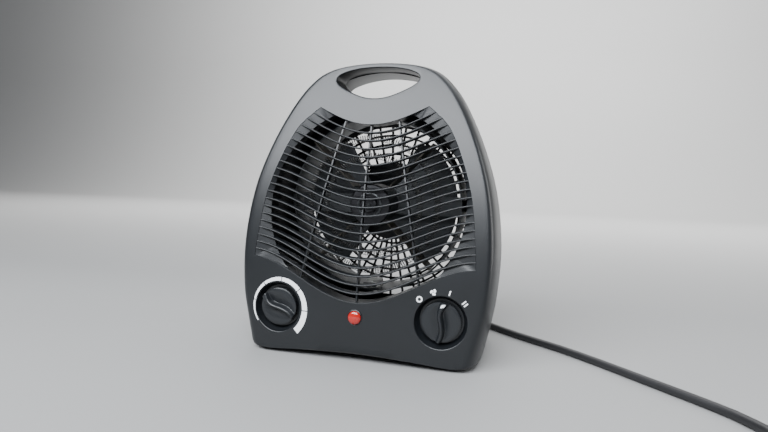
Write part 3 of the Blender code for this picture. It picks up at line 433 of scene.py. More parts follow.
def rib(row):
    """One blade of the grille, with softened front corners."""
    end = tip_x(row) + 0.0012
    stations = 64
    corners = ((0.0, 0.14), (0.00015, 0.30), (0.0005, 0.43), (0.0012, 0.5), (RIB_DEPTH, 0.42))
    section = [(depth, -half) for depth, half in corners] + [(d, h) for d, h in reversed(corners)]
    rings = []
    step = 0.0005
    for i in range(stations + 1):
        x = -end + 2 * end * i / stations
        z = wave_z(row, x)
        slope = (wave_z(row, x + step) - wave_z(row, x - step)) / (2 * step)
        across = RIB_THICKNESS * math.sqrt(1 + slope * slope)
        y = front_y(x, z) + RIB_SET_BACK
        rings.append([Vector((x, y + depth, z + half * across)) for depth, half in section])
    return outward(lofted(rings))


def strut(side):
    """Upright bar just behind the rib fronts: side is -1, 0 or 1."""
    rings = []
    stations, half, thick = 24, 0.0006, 0.0050
    corners = ((-half, 0), (half, 0), (half, thick), (-half, thick))
    for i in range(stations + 1):
        z = ROW_TOP_Z + 0.004 - (ROW_TOP_Z - 0.047) * i / stations
        x = side * (STRUT_TOP[0] + STRUT_LEAN * (STRUT_TOP[1] - z))
        if side:
            z += 0.0125 * i / stations
        y = front_y(x, z) + 0.0022
        rings.append([Vector((x + a, y + b, z)) for a, b in corners])
    return outward(lofted(rings))


def well_outline():
    """Edge of the grille opening: the lowest row, up one side, the top row, down the other."""
    points = []
    for row, direction in ((ROWS - 1, 1), (0, -1)):
        end = tip_x(row)
        shares = [direction * (2 * i / WELL_ACROSS - 1) for i in range(WELL_ACROSS + 1)]
        points += [Vector((end * s, wave_z(row, end * s))) for s in shares]
        if direction == 1:
            heights = [ROWS - 1 - 0.5 * i for i in range(1, 2 * ROWS - 2)]
            side = [Vector((tip_x(h), wave_z(h, tip_x(h)))) for h in heights]
            points += side
    return points + [Vector((-p.x, p.y)) for p in reversed(side)]


def circle_x(row):
    """Where a row's wave crosses the round throat of the funnel."""
    steps = [tip_x(row) * k / 200 for k in range(201)]
    return min(steps, key=lambda x: abs(Vector((x, wave_z(row, x) - AXIS_Z)).length - RAMP_R))


def well(grow, last_ring, wall=0.0, edge=0.0):
    """Grille opening: shallow ramps at its sides, then a round funnel.

    The funnel ends at y = last_ring[0] + last_ring[1] * z. For the wall round the opening, grow is
    above 1 and wall is its thickness; edge is the width of the softened rim.
    """
    centre = Vector((0.0, AXIS_Z))
    spread = [(p - centre) * grow for p in well_outline()]
    outer = [centre + v for v in spread]
    inner = [centre + v * min(1.0, RAMP_R * grow / v.length) for v in spread]
    soft = inset(outer, -edge)
    rings = [[Vector((p.x, -0.09, p.y)) for p in soft]]
    rings.append([Vector((p.x, front_y(p.x, p.y) + 1.25 * wall, p.y)) for p in soft])
    if edge:
        rings.append([Vector((p.x, front_y(p.x, p.y) + edge, p.y)) for p in outer])
        ends = {row: (tip_x(row), circle_x(row)) for row in (0, ROWS - 1)}
        depths = []
        for i, p in enumerate(outer):
            row = ROWS - 1 if i < WELL_ACROSS + 1 else 0
            on_row = i < WELL_ACROSS + 1 or 0 <= i - WELL_TOP_START < WELL_ACROSS + 1
            tip, meets = ends[row]
            share = (tip - abs(p.x)) / (tip - meets) if on_row else 0.0
            depths.append(max(edge + 0.0001, RAMP_DEPTH * min(1.0, share)))
        rings.append([Vector((p.x, front_y(p.x, p.y) + d, p.y)) for p, d in zip(outer, depths)])
    rings.append([Vector((p.x, front_y(p.x, p.y) + RAMP_DEPTH + 0.0001 + wall, p.y)) for p in inner])
    rings.append([Vector((p.x, last_ring[0] + last_ring[1] * p.y, p.y)) for p in inner])
    return outward(lofted(rings))


def round_outline(centre, radius, sides):
    return [Vector((centre[0] + a, centre[1] + b)) for a, b in circle(radius, sides)]


def dial_cutter(side):
    """Round recess for a knob: softened lip, slightly tapering wall, flat floor."""
    centre = (side * DIAL_X, DIAL_Z)
    outline = round_outline(centre, DIAL_R, 96)
    rings = [[Vector((p.x, -0.075, p.y)) for p in inset(outline, -DIAL_EDGE)]]
    for out, depth in lip(DIAL_EDGE):
        rings.append([Vector((p.x, front_y(p.x, p.y) + depth, p.y)) for p in inset(outline, -out)])
    floor_edge = ((DIAL_FLOOR_R + 0.0006, DIAL_FLOOR_Y - 0.0008),
                  (DIAL_FLOOR_R - 0.0002, DIAL_FLOOR_Y))
    for radius, y in floor_edge:
        rings.append([Vector((p.x, y, p.y)) for p in round_outline(centre, radius, 96)])
    return outward(lofted(rings))


def build_front():
    shape = (FACE_HALF, RIM_HALF, FRONT_SIDE, front_y, SPLIT_Y)
    outer = shell_solid(*shape)
    cavity = make_object("cavity", *shell_solid(*shape, WALL, 0.004))
    hole = closed_outline(HOLE_HALF, 8)
    combine(cavity, prism_y(inset(hole, -WALL), -0.08, SPLIT_Y + 0.01), "DIFFERENCE")
    dials = [(s * DIAL_X, DIAL_Z) for s in (-1, 1)]
    cup = [(DIAL_R + WALL, -0.08), (DIAL_R + WALL, -0.048)]
    combine(cavity, merged([turned_y(dial, cup, 64) for dial in dials]), "DIFFERENCE")
    combine(cavity, well(1.028, FUNNEL_END, WALL), "DIFFERENCE")
    shell = make_object("front_casing", *outer)
    combine(shell, solid_of(cavity), "DIFFERENCE")
    combine(shell, face_cutter(hole, lip(0.0012), front_y, -0.09, SPLIT_Y + 0.02), "DIFFERENCE")
    combine(shell, merged([dial_cutter(-1), dial_cutter(1)]), "DIFFERENCE")
    bore = [(HUB_R + 0.0006, -0.06), (HUB_R + 0.0006, -0.04)]
    bores = [turned_y(dial, bore, 32) for dial in dials]
    bores.append(turned_y((0, LENS_Z), [(0.0049, -0.08), (0.0049, -0.05)], 32))
    combine(shell, merged(bores), "DIFFERENCE")
    combine(shell, well(1.0, (0.0, 0.0), 0.0, 0.0004), "DIFFERENCE")
    combine(shell, merged([rib(row) for row in range(1, ROWS - 1)]), "UNION")
    combine(shell, merged([strut(side) for side in (-1, 0, 1)]), "UNION")
    finish_object(shell, BODY, 40.0)
    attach(shell, "housing")
    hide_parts("front_shell")


def intake_web():
    """Web of rings and spokes that follows the bowed back, with one flange ring round it."""
    pitch = INTAKE_R / (INTAKE_RINGS + 0.5)
    half_bar, thickness, between = INTAKE_BAR / 2, 0.0026, 3
    radii = []
    for ring in range(1, INTAKE_RINGS + 1):
        middle = pitch * (ring + 0.5)
        radii += [middle - half_bar, middle + half_bar]
    radii[-1] = INTAKE_R + 0.0012
    columns = []
    for spoke in range(INTAKE_SPOKES):
        angle = math.tau * spoke / INTAKE_SPOKES
        columns += [(angle, -half_bar), (angle, half_bar)]
        columns += [(angle + math.tau / INTAKE_SPOKES * k / (between + 1), 0.0)
                    for k in range(1, between + 1)]

    def corner(radius, column, depth):
        angle, aside = column
        along = math.sqrt(radius * radius - aside * aside)
        x = along * math.cos(angle) - aside * math.sin(angle)
        z = INTAKE_Z + along * math.sin(angle) + aside * math.cos(angle)
        return Vector((x, rear_y(x, z) - depth, z))

    per_spoke, count = 2 + between, len(columns)
    levels = len(radii)
    vertices = [corner(r, c, d) for d in (0.0, thickness) for r in radii for c in columns]
    layer = levels * count

    def solid_cell(level, column):
        return level % 2 == 0 or column % per_spoke == 0

    faces = []
    for level in range(levels - 1):
        for c in range(count):
            if not solid_cell(level, c):
                continue
            n = (c + 1) % count
            here, above = level * count, (level + 1) * count
            a, b, d, e = here + c, here + n, above + n, above + c
            faces += [(a, b, d, e), (layer + e, layer + d, layer + b, layer + a)]
            neighbours = (
                (level == 0 or not solid_cell(level - 1, c), a, b),
                (level == levels - 2 or not solid_cell(level + 1, c), d, e),
                (not solid_cell(level, n), b, d),
                (not solid_cell(level, (c - 1) % count), e, a),
            )
            for open_side, p, q in neighbours:
                if open_side:
                    faces.append((q, p, layer + p, layer + q))
    web = make_object("web", vertices, faces)
    bm = bmesh.new()
    bm.from_mesh(web.data)
    bmesh.ops.delete(bm, geom=[v for v in bm.verts if not v.link_faces], context="VERTS")
    bm.to_mesh(web.data)
    bm.free()
    combine(web, hub_plate(), "UNION")
    return solid_of(web)


def hub_plate():
    """Closed round plate in the middle of the intake, behind the fan, with a softened rim."""
    rings = []
    inside, outside = 0.0032, -0.0003
    profile = [(PLATE_R, inside), (PLATE_R, 0.0002), (PLATE_R - 0.0008, outside),
               (PLATE_R * 0.6, outside)]
    for radius, depth in profile:
        rings.append([Vector((x, rear_y(x, PLATE_Z + z) - depth, PLATE_Z + z))
                      for x, z in circle(radius, 96)])
    ends = [Vector((0, rear_y(0, PLATE_Z) - depth, PLATE_Z)) for depth in (inside, outside)]
    return outward(lofted(rings, first_centre=ends[0], last_centre=ends[1]))


def build_rear():
    shape = (BACK_HALF, RIM_HALF, REAR_SIDE, rear_y, SPLIT_Y + SEAM)
    outer = shell_solid(*shape)
    cavity = make_object("cavity", *shell_solid(*shape, WALL, 0.004))
    hole = closed_outline(REAR_HOLE_HALF, 8)
    combine(cavity, prism_y(inset(hole, -WALL), 0.0, 0.09), "DIFFERENCE")
    shell = make_object("rear_casing", *outer)
    combine(shell, solid_of(cavity), "DIFFERENCE")
    combine(shell, face_cutter(hole, lip(0.0012), rear_y, 0.09, 0.0), "DIFFERENCE")
    wells, sleeves = [], []
    for x, z in ((0.0510, 0.2320), (0.0520, 0.0210), (0.0980, 0.0620)):
        back = rear_y(x, z)
        for s in (-1, 1):
            screw_well = [(0.0036, back - 0.0200), (0.0036, back - 0.0005), (0.0042, back + 0.01)]
            wells.append(turned_y((s * x, z), screw_well, 32))
            sleeves.append(turned_y((s * x, z), [(0.0052, 0.0250), (0.0052, back - 0.0012)], 32))
    wells.append(turned_y((GLAND_X, GLAND_Z), [(0.0050, 0.045), (0.0050, 0.09)], 32))
    combine(shell, merged(sleeves), "UNION")
    combine(shell, merged(wells), "DIFFERENCE")
    combine(shell, turned_y((0, INTAKE_Z), [(INTAKE_R, 0.030), (INTAKE_R, 0.075)], 160), "DIFFERENCE")
    combine(shell, intake_web(), "UNION")
    finish_object(shell, REAR, 40.0)
    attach(shell, "housing")
    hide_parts("rear_shell")


# ---------------------------------------------------------------- controls
def grip_line(pointer_deg, t):
    """Point (x, z) of the S-shaped ridge, from its tail at t = -1 to its pointer at t = 1."""
    turn = math.radians(pointer_deg)
    forward = Vector((math.cos(turn), math.sin(turn)))
    left = Vector((-math.sin(turn), math.cos(turn)))
    sway = 0.0023 * math.sin(math.pi * t * (1.0 if t > 0 else 0.8))
    return forward * (t * KNOB_R * 0.97) + left * sway


def knob_face_y(samples, x, z):
    """Place of the knob's face along Y: two scooped halves with a narrow ridge between them."""
    point = Vector((x, z))
    radius = min(1.0, point.length / KNOB_R)
    t, away = min(((t, (point - p).length) for t, p in samples), key=lambda pair: pair[1])
    scoop_depth, scoop_at, scoop_width, rounding = 0.0022, 0.0015, 0.0065, 0.0009
    scoop = scoop_depth * math.exp(-(((away - scoop_at) / scoop_width) ** 2)) * (1.0 - radius**3)
    base = KNOB_FACE_Y + 0.0001 + scoop + rounding * radius**10
    half_width = 0.0009 + 0.0009 * max(0.0, t) ** 3
    flank = max(0.0, min(1.0, 1.0 - (away - half_width) / 0.0018))
    flank = flank * flank * (3 - 2 * flank)
    top = GRIP_Y + 0.0014 * t * t + 0.0004 * min(1.0, away / half_width) ** 2
    return base + (top - base) * flank


def build_knob(side, name, node, body, pointer_deg):
    centre = (side * DIAL_X, DIAL_Z)
    samples = [(t / 40, grip_line(pointer_deg, t / 40)) for t in range(-40, 41)]
    sides, levels = 168, 42
    rings = []
    chamfer = 0.0004
    back = ((HUB_R, -0.0476), (HUB_R, KNOB_BACK_Y), (KNOB_R - chamfer, KNOB_BACK_Y),
            (KNOB_R, KNOB_BACK_Y - chamfer))
    for radius, y in back:
        rings.append([Vector((centre[0] + a, y, centre[1] + b)) for a, b in circle(radius, sides)])
    for level in range(levels):
        radius = KNOB_R * (1.0 - level / levels) if level else KNOB_R
        ring = []
        for a, b in circle(radius, sides):
            ring.append(Vector((centre[0] + a, knob_face_y(samples, a, b), centre[1] + b)))
        rings.append(ring)
    tip = Vector((centre[0], knob_face_y(samples, 0.0, 0.0), centre[1]))
    knob = make_object(name, *outward(lofted(rings, last_centre=tip)), KNOB, 50.0)
    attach(knob, body)
    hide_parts(node)
    return centre, samples


def build_pointer_mark(centre, samples, pointer_deg):
    """White inlay near the pointer end of the mode knob's ridge."""
    rows = []
    for k in range(7):
        t = 0.80 + 0.17 * k / 6
        middle, ahead = grip_line(pointer_deg, t), grip_line(pointer_deg, t + 0.01)
        along = (ahead - middle).normalized()
        across = Vector((-along.y, along.x))
        rows.append([middle + across * (0.0012 * w) - along * (0.0009 * w)
                     for w in (-1, -0.5, 0, 0.5, 1)])
    lower = [Vector((p.x + centre[0], knob_face_y(samples, p.x, p.y) + 0.0001, p.y + centre[1]))
             for row in rows for p in row]
    upper = [v - Vector((0, 0.00022, 0)) for v in lower]
    mark = make_object("mode_pointer_mark", *sheet_solid(lower, upper, len(rows), len(rows[0])), INK)
    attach(mark, "mode_dial")


def sheet_solid(lower, upper, rows, columns):
    """Thin closed solid between two grids of points."""
    count = rows * columns
    faces = []
    for r in range(rows - 1):
        for c in range(columns - 1):
            a = r * columns + c
            b, d, e = a + 1, a + columns + 1, a + columns
            faces += [(a, b, d, e), (count + e, count + d, count + b, count + a)]
    edge = list(range(columns)) + [r * columns + columns - 1 for r in range(1, rows)]
    edge += [(rows - 1) * columns + c for c in range(columns - 2, -1, -1)]
    edge += [r * columns for r in range(rows - 2, 0, -1)]
    for i, a in enumerate(edge):
        b = edge[(i + 1) % len(edge)]
        faces.append((b, a, count + a, count + b))
    return outward((lower + upper, faces))


def ink_layers(rows):
    """Lower points, just under the front face, and upper points of a print through (x, z) rows."""
    lower = [Vector((p.x, front_y(p.x, p.y) + INK_SINK, p.y)) for row in rows for p in row]
    return lower, [v - Vector((0, INK_THICK, 0)) for v in lower]


def ink_patch(rows):
    """Closed printed patch on the front face through rows of (x, z) points."""
    return sheet_solid(*ink_layers(rows), len(rows), len(rows[0]))


def polar(centre, radius, degrees):
    turn = math.radians(degrees)
    return Vector((centre[0] + radius * math.cos(turn), centre[1] + radius * math.sin(turn)))


def build_markings():
    """Heat scale round the thermostat, and the four switch symbols."""
    patches = []
    centre = (SCALE_X, DIAL_Z)
    start, end = SCALE_CUTS_DEG[0], SCALE_CUTS_DEG[-1]
    for a, b in zip(SCALE_CUTS_DEG, SCALE_CUTS_DEG[1:]):
        first = a - (SCALE_GAP_DEG if a != start else 0.0)
        last = b + (SCALE_GAP_DEG if b != end else 0.0)
        rows = []
        for k in range(15):
            angle = first + (last - first) * k / 14
            grown = (start - angle) / (start - end)
            inner = SCALE_INNER_R + 0.0004 * grown
            outer = inner + SCALE_THIN + (SCALE_THICK - SCALE_THIN) * grown
            rows.append([polar(centre, inner + (outer - inner) * w, angle) for w in (0, 0.5, 1)])
        patches.append(ink_patch(rows))
    centre = (DIAL_X, DIAL_Z)
    patches.append(ink_ring(polar(centre, SYMBOL_R, SYMBOL_DEG[0]), 0.0026, 0.0014))
    fan_at = polar(centre, SYMBOL_R, SYMBOL_DEG[1])
    patches += [ink_blade(fan_at, turn) for turn in (30.0, 150.0, 270.0)]
    patches.append(ink_bar(centre, SYMBOL_DEG[2], 0.0))
    patches += [ink_bar(centre, SYMBOL_DEG[3], aside) for aside in (-0.0012, 0.0012)]
    marks = make_object("dial_markings", *merged(patches), INK)
    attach(marks, "housing")


def ink_ring(at, outer, inner):
    """Closed printed ring on the front face."""
    rows = []
    for radius in (inner, (inner + outer) / 2, outer):
        rows.append([at + Vector(p) for p in circle(radius, 32)])
    lower, upper = ink_layers(rows)
    loops = [upper[:32], upper[32:64], upper[64:], lower[64:], lower[32:64], lower[:32]]
    vertices = [v for loop in loops for v in loop]
    faces = []
    for r in range(6):
        for i in range(32):
            j, n = (i + 1) % 32, (r + 1) % 6
            faces.append((r * 32 + i, r * 32 + j, n * 32 + j, n * 32 + i))
    return outward((vertices, faces))


def ink_blade(at, turn):
    """One of three leaf-shaped blades of the fan symbol."""
    rows = []
    for k in range(9):
        s = k / 8
        middle = polar(at, 0.0004 + 0.0023 * s, turn + 34.0 * s)
        width = 0.00025 + 0.0011 * math.sin(math.pi * min(1.0, s * 0.82 + 0.1))
        across = (polar(at, 1.0, turn + 34.0 * s + 90.0) - at) * width
        rows.append([middle - across, middle, middle + across])
    return ink_patch(rows)


def ink_bar(centre, degrees, aside):
    """Short radial stroke."""
    rows = []
    out = polar((0.0, 0.0), 1.0, degrees)
    across = Vector((-out.y, out.x))
    for k in range(5):
        middle = Vector(centre) + out * (SYMBOL_R - 0.0020 + 0.0040 * k / 4) + across * aside
        rows.append([middle + across * w for w in (-0.00055, 0.0, 0.00055)])
    return ink_patch(rows)


def build_lens():
    surface = front_y(0, LENS_Z)
    dome = [(LENS_R * math.sin(t), surface - 0.0006 - 0.0026 * math.cos(t))
            for t in [math.pi / 2 * k / 12 for k in range(1, 13)]]
    tip = Vector((0, surface - 0.0032, LENS_Z))
    rings = [[Vector((a, y, LENS_Z + b)) for a, b in circle(r, 64)] for r, y in
             dome + [(LENS_R, surface - 0.0001), (0.0045, surface + 0.0001), (0.0045, -0.0545)]]
    lens = make_object("lens_dome", *outward(lofted(rings, first_centre=tip)), LENS_RED, 60.0)
    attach(lens, "housing")
    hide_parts("indicator_lens")
    section = [(LENS_R + out, surface + behind) for out, behind in (
        (0.00015, 0.0004), (0.00015, -0.0005), (0.0005, -0.0007), (0.0010, -0.0004),
        (0.0012, 0.0004))]
    bezel = make_object("lens_bezel", *revolved(section, (0, LENS_Z), 64), BODY)
    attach(bezel, "housing")


# ---------------------------------------------------------------- fan, motor and element
def blade(turn_deg):
    """One broad twisted blade with rounded outer corners."""
    columns, levels = 25, 15
    upper, lower = [], []
    for level in range(levels):
        share_out = level / (levels - 1)
        for c in range(columns):
            share = c / (columns - 1) - 0.5
            reach = BLADE_R - 0.010 * max(0.0, abs(share) * 2 - 0.72) ** 1.5 * 4
            radius = BLADE_ROOT_R + (reach - BLADE_ROOT_R) * share_out
            angle = math.radians(turn_deg + BLADE_SPAN_DEG * share)
            y = FAN_Y + 0.0132 * share + 0.004 * (share * share - 0.25)
            place = Vector((radius * math.cos(angle), y, AXIS_Z + radius * math.sin(angle)))
            upper.append(place - Vector((0, 0.0006, 0)))
            lower.append(place + Vector((0, 0.0006, 0)))
    return sheet_solid(lower, upper, levels, columns)


def build_fan():
    centre = (0, AXIS_Z)
    fan = make_object("fan_wheel", *turned_y(centre, [
        (0.0140, FAN_Y - 0.0090), (0.0156, FAN_Y - 0.0086), (0.0165, FAN_Y - 0.0075),
        (0.0165, FAN_Y + 0.0075), (0.0156, FAN_Y + 0.0086), (0.0120, FAN_Y + 0.0090)], 64))
    for turn in (178.0, 2.0):
        combine(fan, blade(turn), "UNION")
    finish_object(fan, FAN, 40.0)
    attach(fan, "fan_rotor")
    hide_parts("fan_impeller")


def build_motor():
    """Motor with its bearing ring, and the duct round the fan with its two lugs."""
    y0, y1 = MOTOR_Y
    motor = make_object("motor_can", *turned_y((0, AXIS_Z), [
        (0.0030, y0 - 0.0031), (0.0058, y0 - 0.0035), (0.0068, y0 - 0.0030), (0.0070, y0 - 0.0020),
        (0.0074, y0 - 0.0002), (0.0150, y0), (0.0178, y0 + 0.0006), (MOTOR_R, y0 + 0.0022),
        (MOTOR_R, y1 - 0.0010), (0.0180, y1), (0.0070, y1), (0.0070, y1 + 0.003)], 72), MOTOR, 30.0)
    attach(motor, "housing")
    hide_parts("motor_body")
    ring = [(0.0092, y0 + 0.0003), (0.0092, y0 - 0.0012), (0.0100, y0 - 0.0016),
            (0.0112, y0 - 0.0012), (0.0112, y0 + 0.0003)]
    bearing = make_object("motor_bearing_ring", *revolved(ring, (0, AXIS_Z), 64), STEEL)
    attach(bearing, "housing")
    section = [(DUCT_R, DUCT_Y[0]), (DUCT_R + DUCT_T, DUCT_Y[0]), (DUCT_R + DUCT_T, DUCT_Y[1]),
               (DUCT_R, DUCT_Y[1])]
    duct = make_object("duct_ring", *revolved(section, (0, AXIS_Z), 128))
    for s in (-1, 1):
        low, high = sorted((s * (DUCT_R + 0.0006), s * LUG_END_X))
        y = DUCT_Y[1] - 0.0030
        bottom, top = AXIS_Z - LUG_HALF, AXIS_Z + LUG_HALF
        outline = [(low, bottom), (high, bottom), (high, top), (low, top)]
        combine(duct, prism_y(outline, y - LUG_HALF_T, y + LUG_HALF_T), "UNION")
        screw_hole = turned_y((s * LUG_SCREW_X, AXIS_Z), [(0.0018, 0.02), (0.0018, 0.04)], 24)
        combine(duct, screw_hole, "DIFFERENCE")
    finish_object(duct, STEEL)
    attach(duct, "housing")
    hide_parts("fan_duct")


def wire(name, points, radius, material, resolution=2, closed=False):
    curve = bpy.data.curves.new(name, "CURVE")
    curve.dimensions = "3D"
    curve.bevel_depth = radius
    curve.bevel_resolution = resolution
    curve.use_fill_caps = True
    spline = curve.splines.new("POLY")
    spline.points.add(len(points) - 1)
    for point, place in zip(spline.points, points):
        point.co = (*place, 1.0)
    spline.use_smooth = True
    spline.use_cyclic_u = closed
    curve.materials.append(material)
    thing = bpy.data.objects.new(name, curve)
    bpy.context.scene.collection.objects.link(thing)
    return thing


def build_element():
    """Two closed rings of coiled resistance wire, one inside the other."""
    names = ("heating_coil_inner", "heating_coil_outer")
    wire_pitch, per_turn, wire_r = 0.0021, 10, 0.00028
    for index, (name, radius) in enumerate(zip(names, COIL_RADII)):
        turns = round(math.tau * radius / wire_pitch)
        points = []
        for i in range(turns * per_turn):
            along = math.tau * i / (turns * per_turn)
            round_angle = math.tau * i / per_turn
            r = radius + (COIL_R - wire_r) * math.cos(round_angle)
            y = COIL_Y + (COIL_R - wire_r) * math.sin(round_angle)
            points.append((r * math.cos(along), y, AXIS_Z + r * math.sin(along)))
        coil = wire(f"element_helix_{index + 1}", points, wire_r, WIRE, 1, closed=True)
        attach(coil, "housing")
        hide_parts(name)


# ---------------------------------------------------------------- cord
def ramp(value):
    """0 below 0, 1 above 1, with a smooth rise between."""
    return (1 - math.cos(math.pi * max(0.0, min(1.0, value)))) / 2


def cord_route():
    """The whole cord, from the gland to the plug, with its spare length coiled beside the heater."""
    free = [
        (0.0350, 0.0870, 0.0210), (0.0352, 0.0960, 0.0204), (0.0372, 0.1075, 0.0175),
        (0.0450, 0.1190, 0.0118), (0.0570, 0.1240, 0.0066), (0.0740, 0.1180, 0.0040),
        (0.0900, 0.1035, 0.0036), (0.1055, 0.0865, 0.0036), (0.1360, 0.0575, 0.0036),
        (0.1710, 0.0300, 0.0036), (0.2020, 0.0005, 0.0036), (0.2300, -0.0290, 0.0036),
        (0.2560, -0.0560, 0.0036), (0.2770, -0.0800, 0.0036), (0.2880, -0.1010, 0.0040),
    ]
    low, high, lane = COIL_LIFT + CORD_R, COIL_LIFT + CORD_R + CORD_PITCH, CORD_PITCH + 0.0004
    outer = COIL_MID_R + lane / 2
    coil = []
    turn, last = COIL_FROM_DEG, COIL_FROM_DEG + COIL_TURN_DEG
    while turn <= last:
        away = outer - lane * ramp((turn - INWARD_DEG) / CHANGE_DEG)
        away += lane * ramp((turn - OUTWARD_DEG) / CHANGE_DEG)
        away -= DIP * math.sin(math.pi * max(0.0, min(1.0, (turn - DIP_DEG) / DIP_SPAN_DEG))) ** 2
        place = polar(COIL_CENTRE, away, turn)
        coil.append((place.x, place.y, low + (high - low) * ramp((turn - RISE_DEG) / CHANGE_DEG)))
        turn += COIL_TURN_DEG / 140
    start = Vector(free[-1])
    entry = [tuple(start.lerp(Vector(coil[0]), k / 3)) for k in (1, 2)]
    plug, along = plug_frame()
    leave = Vector(coil[-1])
    exit_points = []
    for k in range(1, 9):
        point = leave.lerp(plug + along * 0.004, k / 8)
        point.z = leave.z + (plug.z - leave.z) * ramp((k / 8 - 0.3) / 0.6)
        exit_points.append(tuple(point))
    return [tuple(p) for p in catmull(free, 2)] + entry + coil + exit_points


def plug_frame():
    """Where the cord enters the plug, and the way the plug points."""
    place = polar(COIL_CENTRE, PLUG_REACH, PLUG_DEG)
    heading = math.radians(PLUG_DEG) + math.pi / 2 + math.radians(PLUG_TURN_DEG)
    return Vector((*place, PLUG_Z)), Vector((math.cos(heading), math.sin(heading), 0.0))


def build_gland():
    """Tapered strain relief with ring-shaped ribs, on the back at the lower right."""
    start = 0.0545
    profile = [(0.0046, start), (0.0046, start + 0.0036), (0.0062, start + 0.0040),
               (0.0062, start + 0.0062)]
    ribs, long = 8, GLAND_END_Y - start - 0.0072
    for k in range(ribs):
        share = k / (ribs - 1)
        wide, y = 0.0054 - 0.0010 * share, start + 0.0066 + long * k / ribs
        narrow, pitch = wide - 0.0009, long / ribs
        profile += [(wide, y + pitch * 0.12), (wide, y + pitch * 0.55),
                    (narrow, y + pitch * 0.68), (narrow, y + pitch * 0.96)]
    profile += [(0.0042, GLAND_END_Y - 0.0006), (0.0038, GLAND_END_Y)]
    solid = turned_y((GLAND_X, GLAND_Z), profile, 40)
    gland = make_object("cord_strain_relief", *solid, RUBBER, 30.0)
    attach(gland, "housing")
    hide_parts("cord_gland")
    return gland


def build_plug():
    """Moulded two-pin plug: a tapered sleeve that swells into a flat body with a waist."""
    place, along = plug_frame()
    aside, up = Vector((-along.y, along.x, 0.0)), Vector((0, 0, 1))
    sections = [  # (distance along, half width, half height)
        (0.000, 0.0040, 0.0040), (0.006, 0.0042, 0.0042), (0.012, 0.0044, 0.0043),
        (0.018, 0.0049, 0.0047), (0.023, 0.0082, 0.0062), (0.030, 0.0145, 0.0074),
        (0.040, 0.0176, 0.0079), (0.050, 0.0180, 0.0080), (0.0570, 0.0181, 0.0079),
        (0.0588, 0.0174, 0.0072),
    ]
    rings = []
    for point in catmull(sections, 4):
        ring = []
        for a, b in circle(1.0, 48):
            soft = (abs(a) ** 3 + abs(b) ** 3) ** (-1 / 3)
            out = aside * (a * soft * point.y) + up * (b * soft * point.z)
            ring.append(place + along * point.x + out)
        rings.append(ring)
    plug = make_object("plug_moulding", *outward(lofted(rings)), SHEATH, 50.0)
    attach(plug, "housing")
    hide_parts("plug_body")
    return plug


def build_cord():
    route = cord_route()
    cord = wire("mains_cord", route, CORD_R, SHEATH, 5)
    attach(cord, "housing")
    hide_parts("supply_cord", "cord_coil")
    gland, plug = build_gland(), build_plug()


def dress_cad():
    """Materials of the CAD nodes that are shown as they are."""
    looks = {
        "steel": STEEL, "motor": MOTOR, "mica": MICA, "white": WHITE, "foot": RUBBER,
        "gland": RUBBER, "pin": NICKEL, "plug": SHEATH, "tie": STRAP, "cord": SHEATH, "lead": LEAD,
        "knob": KNOB, "body": BODY, "lens": LENS_RED, "fan": FAN, "wire": WIRE,
    }
    slots = {entry["node"]: entry["material_slot"] for entry in frame["record"]["subparts"]}
    for name, thing in frame["nodes"].items():
        thing.data.materials.clear()
        thing.data.materials.append(looks[slots[name]])
        thing.data.shade_smooth()
        thing.data.set_sharp_from_angle(angle=math.radians(35.0))


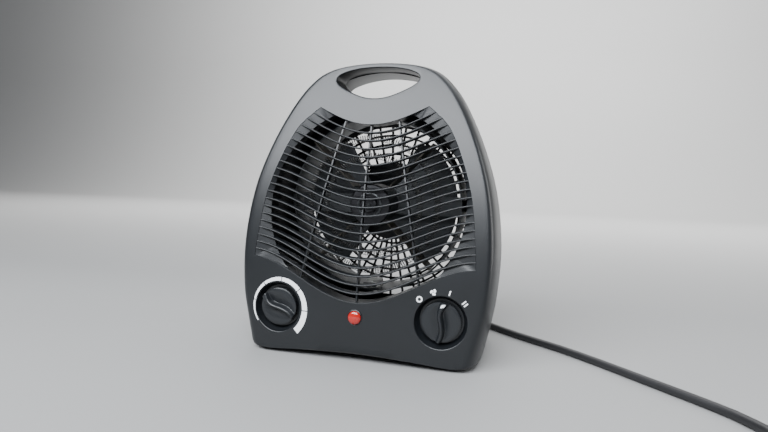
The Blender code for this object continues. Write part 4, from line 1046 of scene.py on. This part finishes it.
# ---------------------------------------------------------------- stage
def build_stage():
    """Plain pale floor that curves up into a backdrop."""
    near_y, bend_y, radius, top_z, bend_steps = -4.0, 2.6, 1.2, 5.0, 16
    profile = [(near_y, 0.0), (bend_y, 0.0)]
    for k in range(1, bend_steps + 1):
        t = math.pi / 2 * k / bend_steps
        profile.append((bend_y + radius * math.sin(t), radius * (1 - math.cos(t))))
    profile.append((bend_y + radius, top_z))
    vertices = [Vector((x, y, z)) for x in (-8.0, 8.0) for y, z in profile]
    count = len(profile)
    faces = [(i, count + i, count + i + 1, i + 1) for i in range(count - 1)]
    floor = make_object("floor", vertices, faces)
    material = bpy.data.materials.new("pale_floor")
    material.use_nodes = True
    shader = material.node_tree.nodes["Principled BSDF"]
    shader.inputs["Base Color"].default_value = (0.27, 0.27, 0.268, 1.0)
    shader.inputs["Roughness"].default_value = 0.6
    floor.data.materials.append(material)


def area_light(name, place, target, size, energy, colour=(1, 1, 1)):
    """Rectangular softbox at a place, facing its target."""
    data = bpy.data.lights.new(name, "AREA")
    data.shape = "RECTANGLE"
    data.size, data.size_y = size
    data.energy = energy
    data.color = colour
    lamp = bpy.data.objects.new(name, data)
    bpy.context.scene.collection.objects.link(lamp)
    direction = Vector(target) - Vector(place)
    turn = direction.to_track_quat("-Z", "Y").to_matrix().to_4x4()
    lamp.matrix_world = Matrix.Translation(place) @ turn


def build_light():
    world = bpy.data.worlds.new("studio")
    bpy.context.scene.world = world
    world.use_nodes = True
    background = world.node_tree.nodes["Background"]
    background.inputs["Color"].default_value = (0.90, 0.94, 1.0, 1.0)
    background.inputs["Strength"].default_value = 0.26
    area_light("overhead", (0.1, 1.5, 2.4), (0.0, 1.2, 0.0), (3.0, 2.4), 60.0)
    area_light("front_high", (-0.22, -1.08, 1.22), (0.0, -0.04, 0.18), (2.0, 1.0), 96.0,
               (0.92, 0.955, 1.0))
    area_light("right_strip", (1.5, 0.35, 0.55), (0.1, 0.0, 0.13), (0.5, 1.3), 12.0)
    area_light("backdrop", (0.0, 1.4, 2.0), (0, 3.8, 0.6), (4.5, 1.2), 380.0)


build_front()
build_rear()
build_knob(-1, "thermostat_dial_knob", "thermostat_knob", "thermostat_dial", THERMOSTAT_POINTER_DEG)
knob_right = build_knob(1, "mode_dial_knob", "mode_knob", "mode_dial", MODE_POINTER_DEG)
build_pointer_mark(*knob_right, MODE_POINTER_DEG)
build_markings()
build_lens()
build_fan()
build_motor()
build_element()
build_cord()
dress_cad()
build_stage()
build_light()
